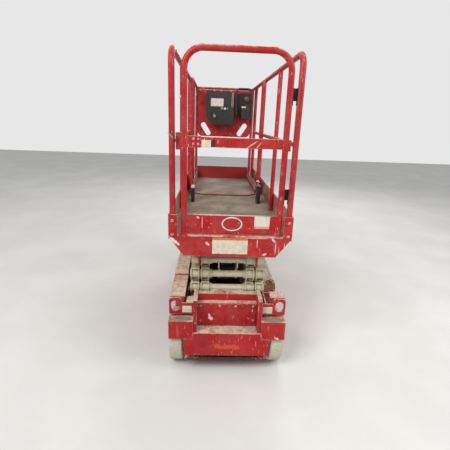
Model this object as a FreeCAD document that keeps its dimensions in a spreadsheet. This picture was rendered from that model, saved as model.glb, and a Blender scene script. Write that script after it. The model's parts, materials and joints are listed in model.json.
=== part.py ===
import FreeCAD, Part
import Sketcher
import os
import re

# Self-propelled slab scissor lift, fully lowered.
# +X is to the right of someone who stands at the entry end and looks along the machine,
# +Y runs away from that person, +Z is up.  The origin is on the floor, under the middle of
# the whole machine.  Millimetres.

doc = FreeCAD.newDocument("ScissorLift")
sheet = doc.addObject("Spreadsheet::Sheet", "Sizes")

# Driving dimensions: name, value, what it is.
SIZES = [
    # The whole machine
    ("half_width", 405, "half the width over the tyres and the deck"),
    ("half_length", 1220, "half the length over the chassis"),
    ("running_gap", 0.1, "radial play of a pin in its bore"),
    ("seat_gap", 0.3, "play between a piece and the seat it slides or turns on"),
    # Wheels
    ("tyre_radius", 190, "outer radius of a tyre"),
    ("tyre_width", 95, "width of a tyre"),
    ("tyre_shoulder", 9, "bevel at a tyre's shoulder"),
    ("rim_radius", 132, "inner radius of the tyre"),
    ("rim_wall", 10, "thickness of the rim and its disc"),
    ("rim_recess", 30, "how far the disc lies inside the tyre's outer face"),
    ("hub_radius", 42, "radius of the hub in the rim"),
    ("hub_inset", 4, "the hub's end lies this far inside the tyre's outer face"),
    ("spindle_radius", 18, "radius of the wheel's spindle"),
    ("spindle_inset", 12, "from the spindle's end to the tyre's outer face"),
    ("near_wheel_inset", 205, "from the entry end to the middle of its wheels"),
    ("far_wheel_inset", 290, "from the far end to the middle of the steered wheels"),
    # Chassis tub
    ("wheel_room", 12, "gap between a wheel and the tub's side wall"),
    ("tub_wall", 10, "plate thickness of the tub"),
    ("tub_floor_z", 100, "underside of the tub"),
    ("tub_top_z", 445, "top of the tub's side walls"),
    ("nose_length", 545, "length of the nose beyond the tub"),
    ("tub_end_z", 262, "top of the tub's far end plate"),
    ("nose_inset", 125, "from a kingpin to the nose's side"),
    ("nose_top_z", 300, "top of the nose"),
    ("bumper_half_width", 250, "half the width of the plate at the far end"),
    ("bumper_top_z", 330, "top of the plate at the far end"),
    ("cross_member_height", 60, "height of the tub's cross members"),
    ("cross_member_depth", 50, "depth of the tub's cross members"),
    ("first_member_y", -500, "place of the first cross member"),
    ("member_pitch", 450, "from one cross member to the next"),
    # Steering
    ("kingpin_inset", 155, "from the machine's side to a kingpin"),
    ("kingpin_radius", 12, "radius of a kingpin"),
    ("kingpin_boss_radius", 26, "radius of the boss on the axle's end"),
    ("axle_height", 60, "height of the steered axle's beam"),
    ("axle_depth", 70, "depth of the steered axle's beam"),
    ("fork_plate", 14, "thickness of a knuckle's fork plate"),
    ("fork_gap", 1, "play of the fork over the boss"),
    ("knuckle_half_depth", 40, "half the depth of a knuckle"),
    ("knuckle_reach", 50, "from a kingpin to the outer face of its knuckle"),
    ("steer_arm_length", 120, "from the kingpin to the steering bar"),
    ("steer_arm_half_width", 20, "half the width of a steering arm"),
    ("steer_bar_radius", 10, "radius of the steering bar"),
    ("steer_end_radius", 16, "radius of the steering bar's ends"),
    ("steer_cylinder_radius", 24, "radius of the steering cylinder"),
    ("steer_cylinder_half_length", 90, "half the length of the steering cylinder"),
    ("bar_window", 6, "room around the steering bar in the nose's walls"),
    # Entry end
    ("plate", 8, "thickness of the entry end's plates"),
    ("apron_bottom_z", 141, "bottom of the apron"),
    ("apron_taper", 10, "how much narrower the apron is at its bottom"),
    ("apron_inset", 100, "from the machine's side to the apron's edge under the corner boxes"),
    ("box_bottom_z", 273, "bottom of a corner box"),
    ("tread_one_z", 318, "top of the lowest tread"),
    ("tread_one_depth", 100, "depth of the lowest tread"),
    ("ledge_z", 500, "top of the ledge over the bolted panel"),
    ("ledge_depth", 40, "depth of that ledge"),
    ("top_step_z", 552, "top of the upper step"),
    ("top_step_depth", 47, "depth of the upper step"),
    ("shelf_room", 12, "gap between the upper step and an inner arm"),
    ("shelf_depth", 68, "its depth there"),
    ("post_width", 28, "width of the entry's side posts"),
    ("post_inset", 168, "from the machine's side to the entry's side posts"),
    ("post_front_inset", 12, "the side posts stand this far behind the apron"),
    ("post_rise", 12, "the side posts end this far above the upper step"),
    ("panel_plate", 6, "thickness of the bolted panel"),
    ("panel_margin", 4, "gap around the bolted panel"),
    ("box_top_z", 411, "top of a corner box"),
    ("box_top_depth", 57, "depth of a corner box's top"),
    ("fender_z", 569, "top of the cover over a wheel"),
    ("cover_gap", 40, "from the cover over the left wheel to the tray"),
    ("right_cover_length", 157, "from the chassis's end to the far end of the right wheel's cover"),
    ("flange_z", 444, "top of the flange under a tie-down ear"),
    ("flange_depth", 45, "depth of the recess under that flange"),
    ("ear_top_z", 560, "top of a tie-down ear"),
    ("ear_width", 85, "width of a tie-down ear"),
    ("ear_corner", 21, "radius of an ear's top corners"),
    ("ear_eye_half_width", 28, "half the width of an ear's eye"),
    ("ear_eye_bottom_z", 462, "bottom of an ear's eye"),
    ("ear_eye_height", 76, "height of an ear's eye"),
    ("shield_top_z", 522, "top of the plate between an ear and a side post"),
    # Side trays and what is in them
    ("tray_near_inset", 435, "from the entry end to a tray"),
    ("tray_far_inset", 75, "from the tub's far end to a tray's"),
    ("tray_room", 8, "gap between the tub's side wall and a tray"),
    ("tray_inset", 3, "from the machine's side to a tray's"),
    ("tray_bottom_z", 120, "bottom of a tray"),
    ("tray_top_z", 595, "top of a tray's cover"),
    ("tray_lap", 2, "how far a tray's cover laps over the tub's side wall"),
    ("tray_lip_z", 545, "bottom of the lip at that edge"),
    ("right_tray_top_z", 480, "top of the right tray's cover"),
    ("right_tray_lip_z", 455, "bottom of the lip at its inner edge"),
    ("tray_sheet", 6, "thickness of a tray's sheet"),
    ("tray_shoulder", 8, "bevel at the top outer edge of a tray"),
    ("battery_width", 76, "width of the battery block"),
    ("battery_height", 270, "height of the battery block"),
    ("battery_room", 305, "length of a tray that the battery block leaves free"),
    ("pump_length", 420, "length of the hydraulic block"),
    ("pump_height", 240, "height of the hydraulic block"),
    ("charger_length", 300, "length of the charger"),
    ("charger_height", 180, "height of the charger"),
    ("tray_hinge_inset", 14, "hinge line of a tray, inside its outer face"),
    ("tray_hinge_gap", 12, "from the hinge line to the tray's end"),
    ("tray_hinge_radius", 9, "radius of a tray's hinge"),
    ("tray_pin_radius", 6, "radius of a tray's hinge pin"),
    ("tray_hinge_low_z", 170, "top of the lower hinge lug on the tub"),
    ("tray_hinge_high_z", 420, "top of the upper hinge lug on the tub"),
    ("tray_lug_height", 22, "height of a tray's hinge lug"),
    ("guard_bottom_z", 60, "bottom of a pothole guard"),
    ("guard_near_lap", 5, "how far a pothole guard reaches beyond its tray at the entry end"),
    ("guard_far_lap", 40, "how far it reaches beyond its tray at the far end"),
    # Scissor arms
    ("arm_room", 800, "length of the chassis that the arms leave free"),
    ("row_rise", 110, "height between two rows of pins when lowered"),
    ("row_one_z", 334, "height of the lowest row of pins"),
    ("pin_inset", 240, "from the entry end to the end pins"),
    ("arm_height", 95, "height of an arm's tube"),
    ("arm_thickness", 60, "width of an arm's tube"),
    ("arm_wall", 6, "wall of an arm's tube"),
    ("arm_side_room", 23, "gap between an outer arm and the tub's side wall"),
    ("arm_gap", 13, "gap between an outer arm and an inner arm"),
    ("boss_radius", 33, "radius of the boss around a pin"),
    ("pin_radius", 20, "radius of a scissor pin"),
    ("pin_cap_radius", 30, "radius of the cap on a pin's end"),
    ("pin_cap_width", 5, "width of the cap on a pin's end"),
    ("cap_gap", 1, "play under a cap or a spacer"),
    ("cross_tube_radius", 24, "radius of the tube between the inner arms"),
    ("roller_radius", 35, "radius of a track roller"),
    ("roller_width", 34, "width of a track roller"),
    ("roller_gap", 5, "gap between an arm and its roller"),
    ("roller_pin_radius", 15, "radius of a track roller's pin"),
    ("track_plate", 12, "thickness of the track under a roller"),
    ("track_near_y", -80, "end of the tracks towards the entry end"),
    # Lift cylinder
    ("lug_reach", 100, "from a cross tube to the cylinder's pin"),
    ("lug_plate", 10, "thickness of a cylinder lug"),
    ("lug_inner_x", 58, "inner face of a cylinder lug"),
    ("lug_half_height", 34, "half the height of a cylinder lug"),
    ("eye_radius", 30, "radius of the cylinder's eyes"),
    ("cylinder_pin_radius", 16, "radius of the cylinder's pins"),
    ("barrel_radius", 45, "outer radius of the cylinder's barrel"),
    ("barrel_bore_radius", 38, "inner radius of the cylinder's barrel"),
    ("barrel_base", 60, "from the lower eye to the bottom of the bore"),
    ("barrel_end_gap", 62, "from the closed barrel's end to the upper eye"),
    ("gland_length", 40, "length of the barrel's gland"),
    ("piston_length", 40, "length of the piston"),
    ("rod_radius", 26, "radius of the cylinder's rod"),
    # Platform
    ("platform_near_inset", 64, "from the chassis's entry end to the platform's"),
    ("platform_far_inset", 36, "from the chassis's far end to the platform's"),
    ("deck_z", 1005, "top of the deck"),
    ("deck_sheet", 5, "thickness of the deck"),
    ("deck_edge_z", 985, "bottom of the deck's turned edge"),
    ("frame_bottom_z", 868, "bottom of the platform's frame"),
    ("frame_wall", 6, "wall of the platform's frame"),
    ("frame_flange", 40, "width of the side members' flanges"),
    ("bearer_height", 60, "height of the deck's cross bearers"),
    ("bearer_width", 40, "width of the deck's cross bearers"),
    ("bearer_near_inset", 256, "from the platform's entry end to the first bearer"),
    ("bearer_far_inset", 184, "from the platform's far end to the last bearer"),
    ("channel_sheet", 6, "thickness of the roller channel"),
    ("channel_inset", 490, "from the chassis's far end to the roller channel"),
    ("channel_seam", 40, "how far its back reaches up the side member"),
    ("hanger_plate", 14, "thickness of the plates that hold the top pins"),
    ("hanger_half_depth", 30, "half the depth of those plates"),
    ("hanger_foot", 40, "how far they reach below the pins"),
    ("pin_depth", 44, "how far a platform pin reaches into its arm"),
    # Entry end frame of the platform
    ("skirt_depth", 50, "depth of the end frame from front to back"),
    ("skirt_sheet", 6, "thickness of the end frame's sheet"),
    ("skirt_sill_z", 1006, "top of the end frame under the gate"),
    ("skirt_wing_z", 1150, "top of the end frame beside the gate"),
    ("wing_width", 59, "width of the end frame beside the gate"),
    ("skirt_chamfer_z", 1000, "where the end frame's slanted sides end"),
    # Guard rails
    ("rail_top_z", 2145, "top of the guard rails"),
    ("rail_mid_z", 1605, "middle of the mid rails"),
    ("rail_far_inset", 24, "from the platform's far end to the far posts"),
    ("tube_radius", 19, "radius of the guard rails' tubes"),
    ("rail_radius", 16, "radius of the guard rails' mid rails"),
    ("post_radius", 17, "radius of the guard rails' middle posts"),
    ("rail_bend", 90, "bend of the top rails at their ends"),
    ("post_two_inset", 736, "from the platform's entry end to the second posts"),
    ("post_three_inset", 744, "from the platform's far end to the third posts"),
    ("toe_height", 150, "height of the toe boards over the deck"),
    ("toe_sheet", 6, "thickness of the toe boards"),
    # Gate
    ("gate_centre_x", 5, "middle of the gate"),
    ("gate_inset", 94, "how much narrower each half of the gate is than the machine's"),
    ("gate_bend", 110, "bend of the gate's top corners"),
    ("gate_bottom_z", 1015, "bottom of the gate"),
    ("gate_panel_z", 1149, "top of the gate's panel"),
    ("gate_sheet", 5, "thickness of the gate's panel"),
    ("gate_bar_height", 60, "height of the gate's middle bar"),
    ("gate_bar_depth", 24, "depth of the gate's middle bar"),
    ("latch_reach", 30, "how far the latch reaches from the gate's tube"),
    ("latch_half_height", 50, "half the height of the latch"),
    ("latch_half_depth", 14, "half the depth of the latch"),
    ("hinge_inset", 54, "from the machine's side to the hinge line of the gate"),
    ("hinge_offset", 17, "hinge line of the gate behind the gate's own plane"),
    ("hinge_radius", 9, "radius of the hinge's barrel"),
    ("hinge_pin_radius", 5, "radius of the hinge's pin"),
    ("hinge_low_z", 1290, "middle of the lower hinge"),
    ("hinge_high_z", 1895, "middle of the upper hinge"),
    ("hinge_half_height", 35, "half the height of a hinge"),
    ("knuckle_share", 23, "half the height of the gate's part of a hinge"),
    # Roll-out deck
    ("extension_inset", 296, "from the third posts to the rear edge of the roll-out deck"),
    ("extension_side_room", 83, "from the machine's side to the roll-out deck's"),
    ("extension_sheet", 6, "thickness of the roll-out deck"),
    ("extension_lift", 6, "height of the skids under the roll-out deck"),
    ("extension_corner", 90, "slanted corners at its rear edge"),
    ("extension_kerb", 38, "height of its side edges"),
    ("skid_width", 30, "width of a skid"),
    ("inner_rail_inset", 66, "from the machine's side to the roll-out deck's rails"),
    ("inner_tube_radius", 16, "radius of the roll-out deck's posts"),
    ("inner_rail_radius", 15, "radius of its side rails"),
    ("cross_rail_radius", 14, "radius of its cross rails"),
    ("inner_rail_top_z", 2115, "top of the roll-out deck's rails"),
    ("loop_width", 70, "width of the rear loops"),
    ("loop_bend", 40, "bend at the top of a rear loop"),
    ("loop_inset", 36, "from the rear edge to the rear loops"),
    ("inner_far_inset", 22, "from the platform's far end to the far corner posts"),
    ("inner_mid_z", 1505, "middle of the roll-out deck's mid rails"),
    ("front_panel_bottom_z", 1539, "bottom of the panel at the far end"),
    ("panel_corner", 56, "radius of that panel's lower corners"),
    ("panel_eye_half_width", 85, "half the length of an eye in that panel"),
    ("panel_eye_half_height", 30, "half the width of an eye in that panel"),
    ("panel_eye_inset", 115, "from a side rail to the eyes in that panel"),
    ("panel_eye_z", 1627, "height of the eyes in that panel"),
    ("panel_eye_tilt", 57, "slant of the eyes in that panel, in degrees"),
    ("guide_inset", 324, "from the roll-out deck's rear edge to the guide blocks"),
    ("guide_length", 110, "length of a guide block"),
    ("guide_width", 34, "width of a guide block"),
    ("guide_height", 130, "height of a guide block"),
    # Platform controls
    ("console_low_x", -220, "left side of the control box"),
    ("console_high_x", 105, "right side of the control box"),
    ("console_low_z", 1684, "bottom of the control box"),
    ("console_high_z", 2058, "top of the control box"),
    ("console_depth", 150, "depth of the control box"),
    ("console_corner_width", 70, "width of the box's slanted lower corner"),
    ("console_corner_height", 90, "height of that corner"),
    ("strap_width", 30, "width and height of a bracket that holds a control"),
    ("strap_inset", 60, "from a side of the control box to the middle of its bracket"),
    ("stick_inset", 81, "from a side rail to the control stick"),
    ("stick_foot_z", 1883, "top of the stick's base"),
    ("stick_base", 120, "width, depth and height of the stick's base"),
    ("stick_height", 99, "from the stick's base to the middle of its knob"),
    ("stick_radius", 9, "radius of the stick"),
    ("knob_radius", 32, "radius of the stick's knob"),
]

BEARERS = 6

# Sizes that follow from the driving ones.
DERIVED = {
    "near_axle_y": "-half_length + near_wheel_inset",
    "far_axle_y": "half_length - far_wheel_inset",
    "tub_half_width": "half_width - tyre_width - wheel_room",
    "tub_far_y": "half_length - nose_length",
    "kingpin_x": "half_width - kingpin_inset",
    "knuckle_face_x": "kingpin_x + knuckle_reach",
    "nose_half_width": "kingpin_x - nose_inset",
    "apron_bottom_half": "apron_top_half - apron_taper",
    "apron_top_half": "half_width - apron_inset",
    "shelf_half_width": "inner_arm_x - shelf_room",
    "post_inner_x": "post_outer_x - post_width",
    "post_outer_x": "half_width - post_inset",
    "tray_near_y": "-half_length + tray_near_inset",
    "tray_far_y": "tub_far_y - tray_far_inset",
    "tray_inner_x": "tub_half_width + tray_room",
    "tray_outer_x": "half_width - tray_inset",
    "tray_lip_x": "tub_half_width - tray_lap",
    "battery_length": "tray_far_y - tray_near_y - battery_room",
    "tray_hinge_x": "tray_outer_x - tray_hinge_inset",
    "guard_near_y": "tray_near_y - guard_near_lap",
    "guard_far_y": "tray_far_y + guard_far_lap",
    "arm_length": "2 * half_length - arm_room",
    "pin_y": "-half_length + pin_inset",
    "outer_arm_x": "tub_inside_x - arm_side_room - arm_thickness",
    "inner_arm_x": "outer_arm_x - arm_gap - arm_thickness",
    "platform_near_y": "-half_length + platform_near_inset",
    "platform_far_y": "half_length - platform_far_inset",
    "frame_half_width": "channel_back_x",
    "first_bearer_y": "platform_near_y + bearer_near_inset",
    "channel_far_y": "half_length - channel_inset",
    "skirt_wing_x": "half_width - wing_width",
    "rail_far_y": "platform_far_y - rail_far_inset",
    "post_two_y": "platform_near_y + post_two_inset",
    "post_three_y": "platform_far_y - post_three_inset",
    "gate_half_width": "half_width - gate_inset",
    "hinge_x": "half_width - hinge_inset",
    "extension_near_y": "post_three_y - extension_inset",
    "extension_half_width": "half_width - extension_side_room",
    "inner_rail_x": "half_width - inner_rail_inset",
    "loop_y": "extension_near_y + loop_inset",
    "inner_far_y": "platform_far_y - inner_far_inset",
    "panel_eye_x": "inner_rail_x - panel_eye_inset",
    "guide_y": "extension_near_y - guide_inset",
    "stick_x": "inner_rail_x - stick_inset",
    "bearer_run": "platform_far_y - bearer_far_inset - first_bearer_y",
    "bearer_pitch": f"bearer_run / {BEARERS - 1}",
    "left_cover_end_y": "tray_near_y - cover_gap",
    "right_cover_end_y": "-half_length + right_cover_length",
    "arm_tilt": "asin(row_rise / arm_length)",
    "top_row_z": "row_one_z + 4 * row_rise",
    "outer_face_x": "outer_arm_x + arm_thickness",
    "inner_face_x": "inner_arm_x + arm_thickness",
    "spindle_end_x": "half_width - spindle_inset",
    "tub_inside_x": "tub_half_width - tub_wall",
    "apron_back_y": "-half_length + plate",
    "tread_back_y": "-half_length + tread_one_depth",
    "riser_y": "tread_back_y + ledge_depth",
    "box_back_y": "-half_length + box_top_depth",
    "wall_near_y": "box_back_y + flange_depth + plate",
    "track_top_z": "row_one_z - roller_radius - seat_gap",
    "cylinder_run": "(arm_length - 2 * lug_reach) * cos(arm_tilt)",
    "cylinder_rise": "row_rise * (2 - 2 * lug_reach / arm_length)",
    "cylinder_length": "sqrt(cylinder_run * cylinder_run + cylinder_rise * cylinder_rise)",
    "cylinder_tilt": "atan(cylinder_rise / cylinder_run)",
    "gate_left_x": "gate_centre_x - gate_half_width",
    "gate_right_x": "gate_centre_x + gate_half_width",
    "rail_x": "half_width - skirt_sheet - tube_radius - seat_gap",
    "rail_near_y": "platform_near_y + skirt_sheet + tube_radius + seat_gap",
    "hinge_y": "rail_near_y + hinge_offset",
    "front_panel_half": "inner_rail_x - inner_tube_radius - seat_gap",
    "rail_centre_z": "rail_top_z - tube_radius",
    "inner_centre_z": "inner_rail_top_z - inner_tube_radius",
    "tray_hinge_y": "tray_near_y - tray_hinge_gap",
    "steer_bar_z": "tyre_radius - axle_height / 2 - fork_gap - fork_plate - seat_gap - steer_end_radius",
    "steer_bar_y": "far_axle_y - steer_arm_length",
    "axle_low_z": "tyre_radius - axle_height / 2",
    "axle_high_z": "tyre_radius + axle_height / 2",
    "over_floor_z": "tub_floor_z + tub_wall",
    "channel_low_z": "top_row_z - roller_radius - seat_gap - channel_sheet",
    "channel_high_z": "top_row_z + roller_radius + seat_gap + channel_sheet",
    "channel_lip_x": "outer_face_x + cap_gap",
    "channel_back_x": "outer_face_x + roller_gap + roller_width + cap_gap",
    "hanger_x": "inner_face_x + roller_gap",
    "console_back_y": "inner_far_y - inner_tube_radius - seat_gap",
    "panel_face_y": "inner_far_y - toe_sheet / 2",
    "rail_foot_z": "inner_centre_z - inner_tube_radius - seat_gap",
    "stick_y": "console_back_y - stick_base / 2",
    "extension_bottom_z": "deck_z + extension_lift",
    "extension_top_z": "deck_z + extension_lift + extension_sheet",
}

for row, (alias, value, meaning) in enumerate(SIZES, start=1):
    sheet.set(f"A{row}", meaning)
    sheet.set(f"B{row}", str(value))
    sheet.setAlias(f"B{row}", alias)
doc.recompute()
ALIASES = {alias for alias, value, meaning in SIZES}
SIDES = (-1, 1)
CROSS_MEMBERS = 3
PARTS = []


# Binding to the sheet

def in_sheet(text):
    """A formula in plain words, turned into one on the sheet's cells."""
    def swap(match):
        word = match.group(0)
        if word in DERIVED:
            return "(" + in_sheet(DERIVED[word]) + ")"
        return "Sizes." + word if word in ALIASES else word
    return re.sub(r"[a-z][a-z_0-9]*", swap, str(text))


def bind(item, prop, text):
    item.setExpression(prop, in_sheet(text))


def span(side, low, high):
    """A stretch along X on the right side, or its mirror image on the left."""
    return (low, high) if side > 0 else (f"-({high})", f"-({low})")


def at_side(side, place):
    return place if side > 0 else f"-({place})"


def place(item, x="0", y="0", z="0"):
    for axis, text in (("x", x), ("y", y), ("z", z)):
        bind(item, "Placement.Base." + axis, text)


def tilt(item, angle, sense, about=(1, 0, 0)):
    """Turn a piece about an axis by an angle of the sheet."""
    item.Placement.Rotation = FreeCAD.Rotation(FreeCAD.Vector(*about), sense)
    bind(item, "Placement.Rotation.Angle", f"{sense} * ({angle})")


# Simple solids

def block(x, y, z):
    """A box between a low and a high value on each axis."""
    item = doc.addObject("Part::Box", "Block")
    for prop, (low, high) in zip(("Length", "Width", "Height"), (x, y, z)):
        bind(item, prop, f"({high}) - ({low})")
    place(item, x[0], y[0], z[0])
    return item


AIM = {
    "x": FreeCAD.Rotation(FreeCAD.Vector(0, 1, 0), 90),
    "y": FreeCAD.Rotation(FreeCAD.Vector(1, 0, 0), -90),
    "z": FreeCAD.Rotation(),
}


def rod(axis, radius, stretch, a, b):
    """A round bar along an axis; a and b are its place on the other two, in X, Y, Z order."""
    item = doc.addObject("Part::Cylinder", "Rod")
    item.Placement.Rotation = AIM[axis]
    low, high = stretch
    bind(item, "Radius", radius)
    bind(item, "Height", f"({high}) - ({low})")
    spot = {"x": (low, a, b), "y": (a, low, b), "z": (a, b, low)}[axis]
    place(item, *spot)
    return item


def elbow(bend, radius, x, y, z, turn):
    """A quarter of a bent tube about a corner's centre."""
    item = doc.addObject("Part::Torus", "Elbow")
    bind(item, "Radius1", bend)
    bind(item, "Radius2", radius)
    item.Angle3 = 90
    item.Placement.Rotation = turn
    place(item, x, y, z)
    return item


def fused(pieces):
    if len(pieces) == 1:
        return pieces[0]
    item = doc.addObject("Part::MultiFuse", "Fused")
    item.Shapes = pieces
    return item


def cut(base, tools):
    item = doc.addObject("Part::Cut", "Cut")
    item.Base = base
    item.Tool = fused(tools)
    return item


def part(name, item):
    """Keep a finished piece under the name of its file."""
    item.Label = name
    PARTS.append(item)
    return item


# Sketched solids

PLANES = {"xy": "XY_Plane", "xz": "XZ_Plane", "yz": "YZ_Plane"}


def sketch_on(body, plane, outlines):
    """Closed outlines of straight runs on one of the body's planes, each corner bound."""
    sketch = body.newObject("Sketcher::SketchObject", "Outline")
    origin = [item for item in body.Origin.OriginFeatures if item.Role == PLANES[plane]][0]
    sketch.AttachmentSupport = [(origin, "")]
    sketch.MapMode = "FlatFace"
    values = {}
    for corners in outlines:
        spots = [(number(u), number(v)) for u, v in corners]
        first = sketch.GeometryCount
        count = len(spots)
        for index in range(count):
            start, end = spots[index], spots[(index + 1) % count]
            line = Part.LineSegment(FreeCAD.Vector(*start, 0), FreeCAD.Vector(*end, 0))
            sketch.addGeometry(line, False)
        for index in range(count):
            this, following = first + index, first + (index + 1) % count
            sketch.addConstraint(Sketcher.Constraint("Coincident", this, 2, following, 1))
        for index, (u, v) in enumerate(corners):
            for kind, text, spot in (("DistanceX", u, 0), ("DistanceY", v, 1)):
                limit = Sketcher.Constraint(kind, -1, 1, first + index, 1, spots[index][spot])
                values[sketch.addConstraint(limit)] = text
    for index, text in values.items():
        bind(sketch, f"Constraints[{index}]", text)
    return sketch


def pad(plane, outlines, low, high):
    """An outline on a plane, made solid from low to high across it."""
    body = doc.addObject("PartDesign::Body", "Body")
    sketch = sketch_on(body, plane, outlines)
    item = body.newObject("PartDesign::Pad", "Pad")
    item.Profile = sketch
    bind(item, "Length", f"({high}) - ({low})")
    item.Reversed = plane == "xz"
    sketch.Visibility = False
    base = {"xy": ("0", "0", low), "xz": ("0", low, "0"), "yz": (low, "0", "0")}[plane]
    place(body, *base)
    return body


def turned(outline, x, y, z):
    """A profile of distance along X and radius, revolved about X."""
    body = doc.addObject("PartDesign::Body", "Body")
    sketch = sketch_on(body, "xz", [outline])
    item = body.newObject("PartDesign::Revolution", "Revolution")
    item.Profile = sketch
    item.ReferenceAxis = (sketch, ["H_Axis"])
    item.Angle = 360
    sketch.Visibility = False
    place(body, x, y, z)
    return body


def number(text):
    """The present value of a formula."""
    return float(doc.getObject("Sizes").evalExpression(in_sheet(text)))


# Wheels

def wheel(name, side, axle_y):
    """A tyre with bevelled shoulders and the rim that carries it on its spindle."""
    inner, outer = "-tyre_width / 2", "tyre_width / 2"
    centre = at_side(side, "half_width - tyre_width / 2")
    tyre = turned([
        (inner, "rim_radius"), (outer, "rim_radius"),
        (outer, "tyre_radius - tyre_shoulder"), (f"{outer} - tyre_shoulder", "tyre_radius"),
        (f"{inner} + tyre_shoulder", "tyre_radius"), (inner, "tyre_radius - tyre_shoulder"),
    ], centre, axle_y, "tyre_radius")
    part("tyre_" + name, tyre)
    face = f"{side} * (tyre_width / 2 - rim_recess)"
    back = f"{side} * (tyre_width / 2 - rim_recess - rim_wall)"
    bore = "spindle_radius + running_gap"
    hub_in, hub_out = f"{side} * (seat_gap - tyre_width / 2)", f"{side} * (tyre_width / 2 - hub_inset)"
    rim = turned([
        (hub_in, bore), (hub_out, bore), (hub_out, "hub_radius"), (face, "hub_radius"),
        (face, "rim_radius - rim_wall"), (outer if side > 0 else inner, "rim_radius - rim_wall"),
        (outer if side > 0 else inner, "rim_radius"), (inner if side > 0 else outer, "rim_radius"),
        (inner if side > 0 else outer, "rim_radius - rim_wall"), (back, "rim_radius - rim_wall"),
        (back, "hub_radius"), (hub_in, "hub_radius"),
    ], centre, axle_y, "tyre_radius")
    part("rim_" + name, rim)


for side, hand in zip(SIDES, ("left", "right")):
    wheel("near_" + hand, side, "near_axle_y")
    wheel("far_" + hand, side, "far_axle_y")


# Chassis: the floor, the tub's sides, the nose and the steered axle

def chassis_floor():
    """The floor of the tub and its nose, the cross members and the steering cylinder."""
    floor = ("tub_floor_z", "over_floor_z")
    pieces = [
        block(("-tub_half_width", "tub_half_width"), ("apron_back_y", "tub_far_y"), floor),
        block(("-nose_half_width", "nose_half_width"), ("tub_far_y", "half_length - tub_wall"), floor),
        rod("x", "steer_cylinder_radius", ("-steer_cylinder_half_length", "steer_cylinder_half_length"),
            "steer_bar_y", "steer_bar_z"),
    ]
    for index in range(CROSS_MEMBERS):
        y = f"first_member_y + {index} * member_pitch"
        pieces.append(block(("-tub_inside_x", "tub_inside_x"), (y, f"{y} + cross_member_depth"),
                            ("over_floor_z", "over_floor_z + cross_member_height")))
    bore = rod("x", "steer_bar_radius + running_gap", ("-kingpin_x", "kingpin_x"),
               "steer_bar_y", "steer_bar_z")
    part("chassis_floor", cut(fused(pieces), [bore]))


def tub_sides():
    """Both walls of the tub, each with its track, spindle, lowest scissor pin and tray hinges."""
    inside = "tub_inside_x"
    pieces = []
    for side in SIDES:
        hinge_x = at_side(side, "tray_hinge_x")
        pieces += [
            block(span(side, inside, "tub_half_width"), ("wall_near_y", "tub_far_y"),
                  ("over_floor_z", "tub_top_z")),
            block(span(side, "inner_face_x + cap_gap", inside), ("track_near_y", "tub_far_y"),
                  ("track_top_z - track_plate", "track_top_z")),
            rod("x", "spindle_radius", span(side, inside, "spindle_end_x"), "near_axle_y", "tyre_radius"),
            rod("x", "pin_radius", span(side, "outer_arm_x", inside), "pin_y", "row_one_z"),
            rod("x", "pin_cap_radius", span(side, "outer_face_x + cap_gap", inside), "pin_y", "row_one_z"),
        ]
        for top in ("tray_hinge_low_z", "tray_hinge_high_z"):
            lug = (f"{top} - tray_lug_height", top)
            pieces += [
                block(span(side, inside, "tray_hinge_x"),
                      ("tray_hinge_y - tray_hinge_radius", "tray_hinge_y + tray_pin_radius"), lug),
                rod("z", "tray_hinge_radius", lug, hinge_x, "tray_hinge_y"),
                rod("z", "tray_pin_radius", (top, f"{top} + tray_lug_height + cap_gap"),
                    hinge_x, "tray_hinge_y"),
            ]
    part("tub_sides", fused(pieces))


def axle_beam():
    return block(("-kingpin_x", "kingpin_x"), ("far_axle_y - axle_depth / 2", "far_axle_y + axle_depth / 2"),
                 ("axle_low_z", "axle_high_z"))


def chassis_nose():
    """The tub's end plate, the nose's walls around the axle, and the plate at the far end."""
    pieces = [
        block(("-tub_inside_x", "tub_inside_x"), ("tub_far_y - tub_wall", "tub_far_y"),
              ("over_floor_z", "tub_end_z")),
        block(("-bumper_half_width", "bumper_half_width"), ("half_length - tub_wall", "half_length"),
              ("tub_floor_z", "bumper_top_z")),
    ]
    tools = [axle_beam()]
    for side in SIDES:
        pieces.append(block(span(side, "nose_half_width - tub_wall", "nose_half_width"),
                            ("tub_far_y", "half_length - tub_wall"), ("over_floor_z", "nose_top_z")))
        tools.append(rod("x", "steer_bar_radius + bar_window",
                         span(side, "nose_half_width - tub_wall - cap_gap", "nose_half_width + cap_gap"),
                         "steer_bar_y", "steer_bar_z"))
    part("chassis_nose", cut(fused(pieces), tools))


def steered_axle():
    """The beam through the nose and the boss for a kingpin at each end."""
    pieces, bores = [axle_beam()], []
    for side in SIDES:
        x = at_side(side, "kingpin_x")
        pieces.append(rod("z", "kingpin_boss_radius", ("axle_low_z", "axle_high_z"), x, "far_axle_y"))
        bores.append(rod("z", "kingpin_radius + running_gap",
                         ("axle_low_z - cap_gap", "axle_high_z + cap_gap"), x, "far_axle_y"))
    part("steered_axle", cut(fused(pieces), bores))


chassis_floor()
tub_sides()
chassis_nose()
steered_axle()


# Steering

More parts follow.
